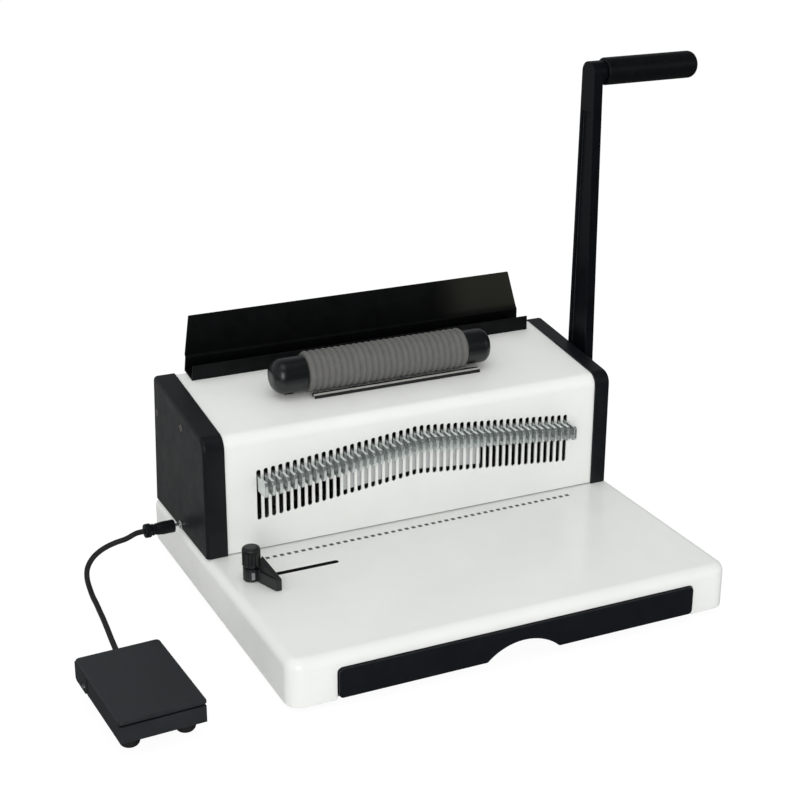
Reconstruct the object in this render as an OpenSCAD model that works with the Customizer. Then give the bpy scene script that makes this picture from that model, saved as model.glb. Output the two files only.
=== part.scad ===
// Coil binding machine: a hand-lever punch with 46 pins, a powered roller that
// winds the coil in, and a foot pedal on a short lead.
// Millimetres, +Z up, the floor at z = 0. The machine is drawn in its own frame:
// x = 0 at the middle of the pin row and y = 0 at the face of the front panel.

/* [Place on the table] */
// Machine's middle, to the right of the origin
machine_x = 13.5; // [-20:0.5:60]
// Front panel, behind the origin
machine_y = 22; // [-20:0.5:60]
// Pedal's middle, to the left of the machine's middle
pedal_left = 287.5; // [260:1:400]
// Pedal's middle, in front of the front panel
pedal_ahead = 133.5; // [80:1:200]
// Turn of the pedal on the floor
pedal_turn = 2.5; // [-10:0.5:10]

/* [Base] */
// Height of the rubber feet
foot_h = 5; // [4:0.5:10]
// Diameter of the rubber feet
foot_d = 22; // [14:1:26]
// Width of the base
base_w = 382; // [380:1:440]
// Base in front of the front panel
base_front = 184; // [160:1:240]
// Base behind the front panel
base_back = 142; // [138:1:180]
// Height of the base
base_h = 38; // [36:0.5:50]
// Radius of the upright corners of the base
base_corner = 13; // [10:1:20]
// Radius round the top edge of the base
base_edge = 8; // [3:0.5:9]
// Wall of the base
base_wall = 3; // [2:0.5:4]
// Thickness of the bottom plate
plate_t = 1.5; // [1:0.5:3]

/* [Body] */
// Width of the white cover between the side covers
panel_w = 343; // [335:1:360]
// Height of the top sheet at the front panel, above the base
body_h = 102; // [100:0.5:120]
// Rise of the top towards the back, in degrees
top_slope = 6.6; // [3:0.2:9]
// Depth of the body at the base
body_depth = 133; // [129:1:136]
// Depth of the body at its top
top_depth = 124; // [119:1:127]
// Radius of the bend between front and top
bend_r = 10; // [5:0.5:14]
// Thickness of the sheet
sheet_t = 1.25; // [1:0.25:2.5]
// Gap for the paper under the front panel
throat = 1.8; // [1.5:0.1:3]
// Thickness of the left cover
cover_left = 18; // [16:0.5:24]
// Thickness of the right cover
cover_right = 15; // [12:0.5:18]
// Wall of the side covers
cover_wall = 2.5; // [2:0.25:3]
// Side covers stand proud of the sheet
cover_lip = 1.5; // [1:0.25:2.5]
// Radius round the outer edge of the side covers
cover_edge = 3; // [1.5:0.25:3.5]
// Thickness of the frame plates
frame_t = 3; // [2:0.5:3.5]

/* [Punch] */
// Number of pins
pin_n = 46; // [20:1:46]
// Pitch of the pins
pin_pitch = 6.35; // [5.6:0.05:6.35]
// Diameter of a pin
pin_d = 4; // [3:0.1:4.2]
// Clearance round a pin in its guide and die
pin_fit = 0.05; // [0.02:0.01:0.1]
// Pins, behind the face of the front panel
pin_y = 9; // [8.6:0.1:9.4]
// Width of a slot in the front panel
slot_w = 3.8; // [3:0.1:4]
// Height of a slot in the front panel
slot_h = 44.3; // [42:0.1:46]
// Lower end of the outer slots, above the base
slot_low = 26.5; // [25:0.5:28]
// Rise of the row of slots towards its middle
slot_rise = 14.4; // [10:0.2:16]
// Thickness of a pull tab
tab_t = 2.6; // [2:0.1:2.7]
// Height of a pull tab
tab_h = 13; // [10:0.5:14]
// Pull tab in front of the front panel
tab_out = 18; // [12:0.5:20]
// Top of the pull tab, below the top of its slot
tab_drop = 5; // [4:0.5:6]
// Depth of the punch beam
beam_d = 14; // [12:0.5:14]
// Height of the die block
die_h = 10; // [8:0.5:12]
// Top of the pin guide, above the base
guide_top = 22; // [20:0.5:23]
// Diameter of the beam's guide posts
post_d = 7; // [5:0.5:7]

/* [Lever] */
// Punch shaft, behind the front panel
shaft_y = 62; // [61.6:0.1:63]
// Punch shaft, above the base
shaft_z = 35; // [33:0.5:36]
// Diameter of the punch shaft
shaft_d = 16; // [14:0.5:17]
// Clearance round a turning shaft
shaft_fit = 0.05; // [0.02:0.01:0.1]
// Module of the pinions and racks
gear_m = 1.5; // [1.4:0.05:1.5]
// Teeth on a pinion
gear_teeth = 20; // [19:1:20]
// Width of a pinion
gear_w = 14; // [10:1:18]
// Pinions, from the middle
gear_x = 120; // [112:1:124]
// Length of the arm from the shaft to the grip
arm_len = 320; // [260:1:360]
// Thickness of the arm
arm_t = 8; // [6:0.5:12]
// Width of the arm at the hub
arm_low_w = 34; // [28:1:38]
// Width of the arm at the grip
arm_top_w = 18.5; // [14:0.5:22]
// Gap between the arm and the right cover
arm_gap = 3; // [2:0.5:6]
// Diameter of the grip
grip_d = 23.5; // [18:0.5:28]
// Length of the grip
grip_len = 92.5; // [70:1:120]

/* [Roller] */
// Roller's axis, behind the front panel
roller_y = 55; // [54:0.5:57]
// Roller's axis, above the top sheet
roller_up = 18.1; // [18:0.1:20]
// Diameter of the ribbed sleeve
sleeve_d = 35; // [30:0.5:35]
// Left end of the sleeve
sleeve_left = 80; // [70:1:82]
// Right end of the sleeve
sleeve_right = 67; // [60:1:90]
// Number of ribs on the sleeve
rib_n = 26; // [12:1:32]
// Diameter of the end housings
housing_d = 31; // [29:0.5:32]
// Length of the left housing
housing_left = 29; // [25:0.5:30]
// Length of the right housing
housing_right = 24; // [15:0.5:27]
// Diameter of the roller's shaft
axle_d = 8; // [6:0.5:8]
// Diameter of the belt pulleys
pulley_d = 11.5; // [11:0.5:14]
// Diameter of the motor
motor_d = 42; // [36:1:44]
// Length of the motor
motor_len = 80; // [60:1:90]

/* [Coil tray] */
// Length of the tray
tray_len = 323; // [280:1:330]
// Front of the tray, behind the front panel
tray_y = 105; // [98:1:108]
// Height of the tray's front lip
tray_lip = 13; // [8:0.5:18]
// Width of the tray's floor
tray_floor = 21; // [19:0.5:28]
// Height of the tray's back
tray_back = 45; // [30:1:60]
// Thickness of the tray's sheet
tray_t = 1.5; // [1:0.25:2]

/* [Drawer] */
// Width of the drawer's front
drawer_w = 309; // [280:0.2:330]
// Height of the drawer's front
drawer_h = 24.2; // [22:0.2:26]
// Thickness of the drawer's front
drawer_t = 5; // [4:0.5:7]
// Height of the drawer's box
box_h = 17; // [14:0.5:18]
// Depth of the drawer's box
box_d = 222; // [190:1:226]
// Width of the finger notch
notch_w = 63; // [50:1:80]
// Height of the finger notch
notch_h = 12.5; // [9:0.5:14]

/* [Margin guide] */
// Guide at rest, inside the left edge of the base
guide_inset = 23; // [21:1:32]
// Guide's slot, in front of the front panel
guide_ahead = 46.5; // [40:0.5:60]
// Travel of the guide
guide_travel = 72; // [40:1:90]
// Diameter of the clamp knob
knob_d = 15; // [12:0.5:18]
// Height of the clamp knob
knob_h = 19; // [14:0.5:26]
// Height of the guide's block
block_h = 10.5; // [8:0.5:14]
// Diameter of the clamp knob's stud
stud_d = 4; // [3:0.5:4.5]

/* [Pedal] */
// Width of the treadle
treadle_w = 66; // [56:0.5:80]
// Length of the treadle
treadle_l = 100; // [90:0.5:120]
// Height of the pedal
pedal_h = 27; // [26:0.5:32]
// Depth of the treadle's skirt
skirt_h = 15.5; // [14:0.5:17]
// Height of the pedal's rubber feet
pedal_foot_h = 8; // [7:0.5:9]
// Diameter of the pedal's rubber feet
pedal_foot_d = 14; // [10:0.5:16]
// Diameter of the hinge pin
hinge_d = 4; // [3:0.5:5]
// Diameter of the lead
lead_d = 4.5; // [3.5:0.25:5]

/* [Hidden] */
$fn = 48;
tiny = 0.01;
gap = 0.3;
base_top = foot_h + base_h;
half_panel = panel_w / 2;
left_face = half_panel + cover_left;
right_face = half_panel + cover_right;
frame_gap = 3.5;
frame_x = half_panel - frame_gap - frame_t;
rear_lean = (body_depth - top_depth) / (body_h + top_depth * tan(top_slope));
row_w = pin_pitch * (pin_n - 1);
stroke_deg = 75;
gear_r = gear_m * gear_teeth / 2;
stroke = gear_r * stroke_deg * PI / 180;

white = "whitesmoke";
black = [0.09, 0.09, 0.1];
steel = "silver";
zinc = [0.72, 0.73, 0.72];
dark_steel = [0.2, 0.2, 0.21];
rubber = [0.06, 0.06, 0.06];
bronze = "peru";

// Frames of the machine and of the pedal
module on_machine() { translate([machine_x, machine_y, 0]) children(); }
module on_pedal() {
    translate([machine_x - pedal_left, machine_y - pedal_ahead, 0]) rotate([0, 0, pedal_turn]) children();
}

// A flat shape in (y, z), drawn out along x
module along_x(x0, x1) { translate([x0, 0, 0]) rotate([90, 0, 90]) linear_extrude(x1 - x0) children(); }
// A flat shape in (x, z), drawn out along y
module along_y(y0, y1) { translate([0, y1, 0]) rotate([90, 0, 0]) linear_extrude(y1 - y0) children(); }
module block(x, y, z) { translate([x[0], y[0], z[0]]) cube([x[1] - x[0], y[1] - y[0], z[1] - z[0]]); }
module rod_x(x0, x1, y, z, d) { translate([x0, y, z]) rotate([0, 90, 0]) cylinder(h = x1 - x0, d = d); }
module turned_x(x, y, z) { translate([x, y, z]) rotate([0, 90, 0]) rotate_extrude() children(); }
function about(a, half) = [a - half, a + half];
function span(a, low, high) = [a + low, a + high];
module both_sides() {
    children();
    mirror([1, 0, 0]) children();
}

function unit(v) = v / norm(v);
function arc(c, r, from, turn, n) = [
    for (i = [0:n]) let (a = from + turn * i / n) c + r * [cos(a), sin(a)]];
function short_way(a) = a > 180 ? a - 360 : a < -180 ? a + 360 : a;
// Corner q between p and s, rounded to radius r
function corner(p, q, s, r, n) = r <= 0 ? [q] :
    let (u = unit(p - q), v = unit(s - q), half = acos(u * v) / 2)
    let (c = q + unit(u + v) * r / sin(half), a = q + u * r / tan(half) - c, b = q + v * r / tan(half) - c)
    let (from = atan2(a[1], a[0]))
    arc(c, r, from, short_way(atan2(b[1], b[0]) - from), n);
function rounded(pts, radii, n = 8) = let (m = len(pts))
    [for (i = [0:m - 1]) each corner(pts[(i + m - 1) % m], pts[i], pts[(i + 1) % m], radii[i], n)];
function rounded_box(x, z, r) =
    rounded([[x[0], z[0]], [x[1], z[0]], [x[1], z[1]], [x[0], z[1]]], [r, r, r, r]);

// Side outline of the body, grown by out, from height zb upwards
function top_z(y) = base_top + body_h + y * tan(top_slope);
function rear_y(z, out) = body_depth - rear_lean * (z - base_top) + out * sqrt(1 + rear_lean * rear_lean);
function body_side(out, zb) =
    let (lift = base_top + body_h + out / cos(top_slope))
    let (y = (rear_y(base_top, out) - rear_lean * (lift - base_top)) / (1 + rear_lean * tan(top_slope)))
    rounded([
        [-out, zb], [-out, lift - out * tan(top_slope)],
        [y, lift + y * tan(top_slope)], [rear_y(zb, out), zb]],
        [0, bend_r + out, rear_r + out, 0]);
rear_r = 4;

// A tube along a list of points
function tangent(p, i) = unit(p[min(i + 1, len(p) - 1)] - p[max(i - 1, 0)]);
function square_to(u, t) = unit(u - t * (u * t));
function sides_of(p, up) = [
    for (i = 0, u = square_to(up, tangent(p, 0)); i < len(p); i = i + 1,
        u = i < len(p) ? square_to(u, tangent(p, i)) : u) u];
module tube(p, d, sides, up) {
    u = sides_of(p, up);
    rings = [
        for (i = [0:len(p) - 1]) let (v = cross(tangent(p, i), u[i]))
            for (k = [0:sides - 1]) p[i] + d / 2 * (u[i] * cos(360 * k / sides) + v * sin(360 * k / sides))];
    walls = [
        for (i = [0:len(p) - 2]) for (k = [0:sides - 1])
            let (a = i * sides + k, b = i * sides + (k + 1) % sides)
            each [[a, a + sides, b], [b, a + sides, b + sides]]];
    last = (len(p) - 1) * sides;
    ends = [
        for (k = [1:sides - 2]) each [[0, k, k + 1], [last, last + k + 1, last + k]]];
    polyhedron(rings, concat(walls, ends));
}
function blend(a, b, c, d, t) =
    b + t / 2 * (c - a + t * (2 * a - 5 * b + 4 * c - d + t * (3 * (b - c) + d - a)));
function smooth(p, k) = let (m = len(p) - 1) concat([
    for (i = [0:m - 1]) for (j = [0:k - 1])
        blend(p[max(i - 1, 0)], p[i], p[i + 1], p[min(i + 2, m)], j / k)], [p[m]]);

// Base

module base_outer() {
    r = base_corner;
    hull() for (x = [-1, 1] * (base_w / 2 - r), y = [r - base_front, base_back - r])
        translate([x, y, 0]) rotate_extrude($fn = 32) polygon(rounded(
            [[0, foot_h], [r, foot_h], [r, base_top], [0, base_top]], [0, 0, base_edge, 0], 6));
}

module base_inner(wall, z0, z1) {
    translate([0, 0, z0]) linear_extrude(z1 - z0)
        polygon(rounded_box([wall - base_w / 2, base_w / 2 - wall], [wall - base_front, base_back - wall],
            max(base_corner - wall, 1)));
}

die_y0 = pin_y - pin_d / 2 - 2;
die_y1 = 24;
die_gap = 0.5;
drawer_x = 1.5;
drawer_z = foot_h + 1.8;
drawer_gap = 0.6;
box_floor = foot_h + plate_t + 0.5;
box_half = drawer_w / 2 - 6;
drawer_front_y = -base_front - 2.4;
drawer_back_y = drawer_front_y + drawer_t;
guide_y = -guide_ahead;
guide_x = base_w / 2 - guide_inset;
guide_slot_w = stud_d + 1;

module base_cover() {
    color(white) on_machine() difference() {
        base_outer();
        base_inner(base_wall, foot_h - 1, base_top - base_edge);
        base_inner(base_wall + 2, base_top - base_edge - 1, base_top - base_wall);
        // Window for the die, with the frames' lugs at its ends
        block([-1, 1] * (frame_x + frame_t + die_gap), [die_y0 - die_gap, die_y1 + die_gap],
            [base_top - base_wall - 1, base_top + 1]);
        // Opening for the drawer, open below
        along_y(-base_front - 1, -base_front + base_wall + 1)
            polygon(rounded_box(about(drawer_x, drawer_w / 2 + drawer_gap),
                [-drawer_h, drawer_z + drawer_h + drawer_gap], 4));
        translate([0, 0, base_top - base_wall - 1]) linear_extrude(base_wall + 2) guide_slot();
    }
}

module guide_slot() {
    ends = [-guide_x, guide_travel - guide_x];
    for (x = ends) translate([x, guide_y]) circle(d = guide_slot_w);
    translate([ends[0], guide_y - guide_slot_w / 2]) square([ends[1] - ends[0], guide_slot_w]);
}

recess_w = 90;
recess_d = 52;

module base_plate() {
    color(zinc) on_machine() difference() {
        base_inner(base_wall + gap, foot_h, foot_h + plate_t);
        block(about(drawer_x, recess_w / 2 + 6), [-base_front - 1, drawer_back_y + recess_d + 6],
            [0, base_top]);
        block(about(drawer_x, drawer_w / 2 + 2), [-base_front - 1, drawer_back_y + 2], [0, base_top]);
    }
}

foot_inset = 34;
foot_taper = 2;

module rubber_feet() {
    color(rubber) on_machine()
        for (x = [-1, 1] * (base_w / 2 - foot_inset), y = [foot_inset - base_front, base_back - foot_inset])
            translate([x, y, 0]) cylinder(h = foot_h, d1 = foot_d - foot_taper, d2 = foot_d);
}

// Body

function slot_lift(i) = slot_rise * (1 - abs(2 * i - pin_n + 1) / (pin_n - 1));
function pin_x(i) = pin_pitch * i - row_w / 2;
function slot_z(i) = base_top + slot_low + slot_lift(i);
function tab_z(i) = slot_z(i) + slot_h - tab_drop - tab_h;

module panel_slots() {
    for (i = [0:pin_n - 1]) {
        translate([pin_x(i), slot_z(i) + slot_w / 2]) circle(d = slot_w);
        translate([pin_x(i), slot_z(i) + slot_h - slot_w / 2]) circle(d = slot_w);
        translate([pin_x(i) - slot_w / 2, slot_z(i) + slot_w / 2]) square([slot_w, slot_h - slot_w]);
    }
}

module body_cover() {
    color(white) on_machine() difference() {
        along_x(-half_panel, half_panel) difference() {
            polygon(body_side(0, base_top + throat));
            polygon([
                [sheet_t, 0], each corner([sheet_t, 0], [sheet_t, top_z(sheet_t) - sheet_t / cos(top_slope)],
                    [base_back, top_z(base_back) - sheet_t / cos(top_slope)], bend_r - sheet_t, 8),
                [base_back, top_z(base_back) - sheet_t / cos(top_slope)], [base_back, 0]]);
        }
        along_y(-1, sheet_t + 1) panel_slots();
        along_x(-belt_x - belt_room, -belt_x + belt_room) belt_outline(belt_side);
    }
}

rear_side_gap = 0.2;
vent_n = 7;
vent_w = 3;
vent_h = 26;
vent_pitch = 9;
vent_x = 60;
vent_z = 55;

module rear_panel() {
    color(white) on_machine() difference() {
        along_x(-half_panel, half_panel) polygon([
            [rear_y(base_top, -sheet_t), base_top], [rear_y(base_top, 0), base_top],
            [rear_y(rear_top, 0), rear_top], [rear_y(rear_top, -sheet_t), rear_top]]);
        for (i = [0:vent_n - 1])
            block(about(vent_x + vent_pitch * i, vent_w / 2), [top_depth - 4, body_depth + 1],
                span(base_top + vent_z, 0, vent_h));
        block(about(inlet_x, inlet_w / 2), [top_depth, body_depth + 1], about(inlet_z, inlet_h / 2));
        block(about(switch_x, switch_w / 2), [top_depth, body_depth + 1], about(inlet_z, switch_h / 2));
    }
}
rear_top = top_z(top_depth) - rear_r - sheet_t;

// A hollow side cover between x = 0 and x = t, open towards 0
module side_cover(t) {
    difference() {
        hull() {
            along_x(0, t - cover_edge) polygon(body_side(cover_lip, base_top));
            for (a = [30:30:90]) along_x(t - cover_edge, t - cover_edge + cover_edge * sin(a))
                polygon(body_side(cover_lip - cover_edge * (1 - cos(a)), base_top));
        }
        along_x(-1, t - cover_wall) polygon(body_side(cover_lip - cover_wall, base_top - 1));
        for (p = screw_at) rod_x(0, t + 1, p[0], p[1], screw_d);
    }
}

screw_d = 3.4;
screw_head = 6.4;
screw_sink = 1.2;
screw_back = 6;
screw_ahead = 71.5;
screw_low = 16.5;
screw_high = 6.5;
screw_at = [
    [top_depth - screw_back, base_top + body_h - screw_low],
    [top_depth - screw_ahead, base_top + body_h - screw_high]];

module left_cover() {
    color(black) on_machine() difference() {
        translate([-half_panel, 0, 0]) mirror([1, 0, 0]) side_cover(cover_left);
        rod_x(-left_face - 1, -half_panel, jack_y, jack_z, jack_d);
    }
}

module right_cover() {
    color(black) on_machine() difference() {
        translate([half_panel, 0, 0]) side_cover(cover_right);
        rod_x(half_panel, right_face + 1, shaft_y, base_top + shaft_z, shaft_d + 4);
    }
}

module screw(tip, face) {
    rod_x(tip, face - tiny, 0, 0, screw_d);
    turned_x(face, 0, 0) difference() {
        intersection() {
            translate([0, -screw_head]) circle(r = screw_head + screw_sink);
            square([screw_head / 2, screw_head]);
        }
        square([0.6, 0.1]);
    }
}

module cover_screws() {
    color(steel) on_machine() for (p = screw_at) translate([0, p[0], p[1]]) {
        screw(frame_x + frame_t, right_face);
        mirror([1, 0, 0]) screw(frame_x + frame_t, left_face);
    }
}

// Punch frame

bush_d = 22;
bush_flange = 27;
bush_flange_t = 2;
tie_d = 12;
rear_tie_y = 104;
rear_tie_z = base_top + 20;
frame_front = sheet_t + 1;

module frame_plate() {
    difference() {
        along_x(frame_x, frame_x + frame_t) polygon(concat(body_side(-frame_front, base_top),
            [[die_y1, base_top], [die_y1, base_top - die_h],
            [die_y0, base_top - die_h], [die_y0, base_top]]));
        rod_x(frame_x - 1, frame_x + frame_t + 1, shaft_y, base_top + shaft_z, bush_d);
    }
}

module left_frame() { color(zinc) on_machine() mirror([1, 0, 0]) frame_plate(); }
module right_frame() { color(zinc) on_machine() frame_plate(); }

module pin_holes() {
    for (i = [0:pin_n - 1]) translate([pin_x(i), pin_y]) circle(d = pin_d + 2 * pin_fit);
}

module die_block() {
    color(steel) on_machine() translate([0, 0, base_top - die_h]) linear_extrude(die_h) difference() {
        translate([-frame_x, die_y0]) square([2 * frame_x, die_y1 - die_y0]);
        pin_holes();
    }
}

module pin_guide() {
    color(steel) on_machine() translate([0, 0, base_top + throat])
        linear_extrude(guide_top - throat) difference() {
            translate([-frame_x, die_y0]) square([2 * frame_x, guide_y1 - die_y0]);
            pin_holes();
        }
}

beam_y0 = pin_y + 4;
beam_y1 = beam_y0 + beam_d;
beam_half = frame_x - 4;
beam_z0 = tab_z(0) - 4;
beam_z1 = tab_z(0) + slot_rise + tab_h + 6;
guide_y1 = beam_y1 - 1.5;
post_x = beam_half - post_d;
tie_z = beam_z1 + 3;
tie_h = 6;
pocket_d = 4;
post_wall = 1;
post_y = beam_y0 + pocket_d + post_wall + post_d / 2;
head_w = 5;
head_y0 = pin_y - pin_d / 2 - 0.5;

module guide_posts() {
    color(steel) on_machine() both_sides() translate([post_x, post_y, base_top + guide_top])
        cylinder(h = tie_z - base_top - guide_top, d = post_d);
}

module top_tie() {
    color(zinc) on_machine() block([-1, 1] * frame_x, [beam_y0, beam_y1 - 1], span(tie_z, 0, tie_h));
}

module rear_tie() { color(zinc) on_machine() rod_x(-frame_x, frame_x, rear_tie_y, rear_tie_z, tie_d); }

spring_x0 = 30;
spring_turns = 7.875;
spring_wire = 2.5;
spring_pitch = 3.6;
spring_gap = 1.5;
spring_hook = 6;
spring_r = shaft_d / 2 + spring_gap + spring_wire / 2;

module return_spring() {
    steps = 8;
    hook = [
        spring_x0 + spring_turns * spring_pitch + spring_hook,
        rear_tie_y - tie_d / 2 - spring_wire / 2 - tiny, rear_tie_z];
    coil = [
        for (i = [0:spring_turns * steps])
            let (a = 360 * i / steps + 90)
            [spring_x0 + spring_pitch * i / steps, shaft_y + spring_r * cos(a),
                base_top + shaft_z + spring_r * sin(a)]];
    color(dark_steel) on_machine() tube(concat(coil, [hook]), spring_wire, 6, [1, 0, 0]);
}

module shaft_bushes() {
    color(bronze) on_machine() both_sides() difference() {
        union() {
            rod_x(frame_x, frame_x + frame_t, shaft_y, base_top + shaft_z, bush_d);
            rod_x(frame_x - bush_flange_t, frame_x, shaft_y, base_top + shaft_z, bush_flange);
        }
        rod_x(frame_x - frame_t - 1, frame_x + frame_t + 1, shaft_y, base_top + shaft_z,
            shaft_d + 2 * shaft_fit);
    }
}

// Punch beam, which the racks carry down

module punch_beam() {
    color(dark_steel) on_machine() difference() {
        union() {
            along_y(beam_y0, beam_y0 + pocket_d) difference() {
                translate([-beam_half, beam_z0]) square([2 * beam_half, beam_z1 - beam_z0]);
                for (i = [0:pin_n - 1])
                    translate([pin_x(i) - head_w / 2, tab_z(i)]) square([head_w, tab_h]);
            }
            block([-1, 1] * beam_half, [beam_y0 + pocket_d, beam_y1], [beam_z0, beam_z1]);
        }
        both_sides() translate([post_x, post_y, beam_z0 - 1])
            cylinder(h = beam_z1 - beam_z0 + 2, d = post_d + 2 * shaft_fit);
    }
}

plate_d = 1.6;
plate_gap = 0.2;
plate_low = 4;
plate_y0 = sheet_t + 0.6;
plate_leg_t = 1.2;
plate_leg_h = 8;
plate_x0 = pin_x(round(pin_n * 0.24)) + pin_pitch / 2;
plate_x1 = pin_x(round(pin_n * 0.76)) + pin_pitch / 2;
function row_lift(x) = slot_rise * (1 - 2 * abs(x) / row_w);
function plate_foot(x) = base_top + slot_low + plate_low + row_lift(x);
function plate_top(x) = tab_z(0) - plate_gap + row_lift(x);

module beam_plate() {
    color(zinc) on_machine() {
        along_y(plate_y0, plate_y0 + plate_d) polygon([
            [plate_x0, plate_foot(plate_x0)], [0, plate_foot(0)], [plate_x1, plate_foot(plate_x1)],
            [plate_x1, plate_top(plate_x1)], [0, plate_top(0)], [plate_x0, plate_top(plate_x0)]]);
        for (x = [plate_x0, plate_x1])
            block(about(x, plate_leg_t / 2), [plate_y0, beam_y0], span(beam_z0, 0, plate_leg_h));
    }
}

tip_clear = 1.5;

module punch_pins() {
    color(dark_steel) on_machine() for (i = [0:pin_n - 1]) {
        translate([pin_x(i), pin_y, base_top + throat + tip_clear + slot_lift(i)])
            cylinder(h = tab_z(i) - base_top - throat - tip_clear - slot_lift(i) + 1, d = pin_d);
        block(about(pin_x(i), head_w / 2), [head_y0, beam_y0 + pocket_d], span(tab_z(i), 0, tab_h));
    }
}

tab_round = 3;

module pull_tabs() {
    color(steel) on_machine() for (i = [0:pin_n - 1])
        along_x(pin_x(i) - tab_t / 2, pin_x(i) + tab_t / 2) polygon(rounded([
            [-tab_out, tab_z(i)], [head_y0, tab_z(i)],
            [head_y0, tab_z(i) + tab_h], [-tab_out, tab_z(i) + tab_h]],
            [tab_round, 0, 0, tab_round], 5));
}

// Rack and pinion, with involute teeth at 20 degrees

pressure = 20;
backlash = 0.3;
gear_base_r = gear_r * cos(pressure);
function involute(a) = tan(a) * 180 / PI - a;
function tooth_half(r) = 90 / gear_teeth - backlash / 2 / gear_r * 180 / PI
    + involute(pressure) - involute(acos(min(1, gear_base_r / r)));
flank = [
    gear_r - 1.25 * gear_m, gear_base_r, (gear_base_r + gear_r) / 2,
    gear_r, gear_r + gear_m / 2, gear_r + gear_m];
function on_circle(r, a) = r * [cos(a), sin(a)];
function pinion_outline() = [
    for (k = [0:gear_teeth - 1]) let (mid = 180 + 360 * k / gear_teeth) each concat(
        [for (r = flank) on_circle(r, mid - tooth_half(r))],
        [for (j = [len(flank) - 1:-1:0]) on_circle(flank[j], mid + tooth_half(flank[j]))])];

tooth_pitch = PI * gear_m;
rack_below = 2;
rack_above = 6;
rack_y = shaft_y - gear_r;
function rack_tooth(z) = let (half = tooth_pitch / 4 - backlash / 4, s = tan(pressure)) [
    [rack_y - 1.25 * gear_m, z - half - 1.25 * gear_m * s], [rack_y + gear_m, z - half + gear_m * s],
    [rack_y + gear_m, z + half - gear_m * s], [rack_y - 1.25 * gear_m, z + half + 1.25 * gear_m * s]];

module pinions() {
    color(steel) on_machine() both_sides() difference() {
        along_x(gear_x - gear_w / 2, gear_x + gear_w / 2)
            translate([shaft_y, base_top + shaft_z]) polygon(pinion_outline());
        rod_x(gear_x - gear_w, gear_x + gear_w, shaft_y, base_top + shaft_z, shaft_d);
    }
}

module racks() {
    z = base_top + shaft_z;
    low = z - tooth_pitch * (rack_below + 0.5);
    high = z + tooth_pitch * (rack_above + 0.5);
    color(steel) on_machine() both_sides() along_x(gear_x - gear_w / 2, gear_x + gear_w / 2) polygon(concat(
        [[beam_y1, low], [rack_y - 1.25 * gear_m, low]],
        [for (k = [-rack_below:rack_above]) each rack_tooth(z + tooth_pitch * (k + 0.5) - tooth_pitch)],
        [[rack_y - 1.25 * gear_m, high], [beam_y1, max(high, beam_z0 + tie_d)]]));
}

// Lever

arm_x0 = right_face + arm_gap;
arm_x1 = arm_x0 + arm_t;
lever_z = base_top + shaft_z;
hub_d = 42;
channel_d = 2.4;
channel_wall = 3.5;
channel_end = 34;
bolt_d = 8;
bolt_len = 20;
bolt_head = 13;
bolt_head_h = 5;
washer_d = 24;
washer_t = 2;
shaft_end = 2;

module punch_shaft() {
    color(steel) on_machine() difference() {
        rod_x(-frame_x - frame_t - shaft_end, arm_x1, shaft_y, lever_z, shaft_d);
        rod_x(arm_x1 - bolt_len, arm_x1 + 1, shaft_y, lever_z, bolt_d);
    }
}

// Half width of the arm at height h above the shaft
function arm_half(h) = arm_low_w / 2 + (arm_top_w - arm_low_w) / 2 * h / arm_len;

module arm_side(inset, h0, h1) {
    polygon([
        [inset - arm_half(h0), h0], [arm_half(h0) - inset, h0],
        [arm_half(h1) - inset, h1], [inset - arm_half(h1), h1]]);
}

module lever_arm() {
    color(black) on_machine() translate([0, shaft_y, lever_z]) difference() {
        union() {
            along_x(arm_x0, arm_x1) {
                arm_side(0, 0, arm_len);
                translate([0, arm_len]) circle(d = arm_top_w);
                circle(d = hub_d);
            }
            rod_x(arm_x1 - tiny, arm_x1 + grip_collar, 0, arm_len, arm_top_w);
        }
        for (x = [arm_x0 - 1, arm_x1 - channel_d])
            along_x(x, x + channel_d + 1)
                arm_side(channel_wall, hub_d / 2 + channel_wall, arm_len - channel_end);
        rod_x(arm_x0 - 1, arm_x1 + 1, 0, 0, shaft_d);
        rod_x(rod_x0, arm_x1 + grip_collar + 1, 0, arm_len, rod_d);
    }
}

grip_collar = 6;
rod_d = 10;
rod_inset = 12;
rod_x0 = arm_x0 + 3;
grip_round = 7;
grip_x0 = arm_x1 + grip_collar;

module grip_rod() {
    color(steel) on_machine()
        rod_x(rod_x0, grip_x0 + grip_len - rod_inset, shaft_y, lever_z + arm_len, rod_d);
}

module lever_grip() {
    bore = grip_len - rod_inset;
    color(black) on_machine() turned_x(grip_x0, shaft_y, lever_z + arm_len) polygon(concat(
        [[0, bore], [rod_d / 2, bore], [rod_d / 2, 0]],
        rounded([[rod_d / 2, 0], [grip_d / 2, 0], [grip_d / 2, grip_len], [0, grip_len]],
            [0, 2, grip_round, 0])));
}

module hub_bolt() {
    color(zinc) on_machine() {
        rod_x(arm_x1 - bolt_len + 2, arm_x1 + washer_t, shaft_y, lever_z, bolt_d);
        rod_x(arm_x1, arm_x1 + washer_t, shaft_y, lever_z, washer_d);
        translate([arm_x1 + washer_t, shaft_y, lever_z]) rotate([0, 90, 0])
            cylinder(h = bolt_head_h, d = bolt_head / cos(30), $fn = 6);
    }
}

// Roller, its housings and its drive

roller_z = top_z(roller_y) + roller_up / cos(top_slope);
belt_x = 92.5;
belt_w = 6;
belt_t = 1.6;
belt_room = belt_w / 2 + 2;
belt_side = pulley_d / 2 + gap + belt_t + 1;
motor_back = 34;
motor_up = 72;
motor_y = roller_y + motor_back;
motor_z = base_top + motor_up;
axle_fit = 0.05;
roller_bush_d = axle_d + 5;
drum_d = 24;
rib_gap = 0.45;
rib_h = 1.3;
sleeve_gap = 1;

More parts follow.
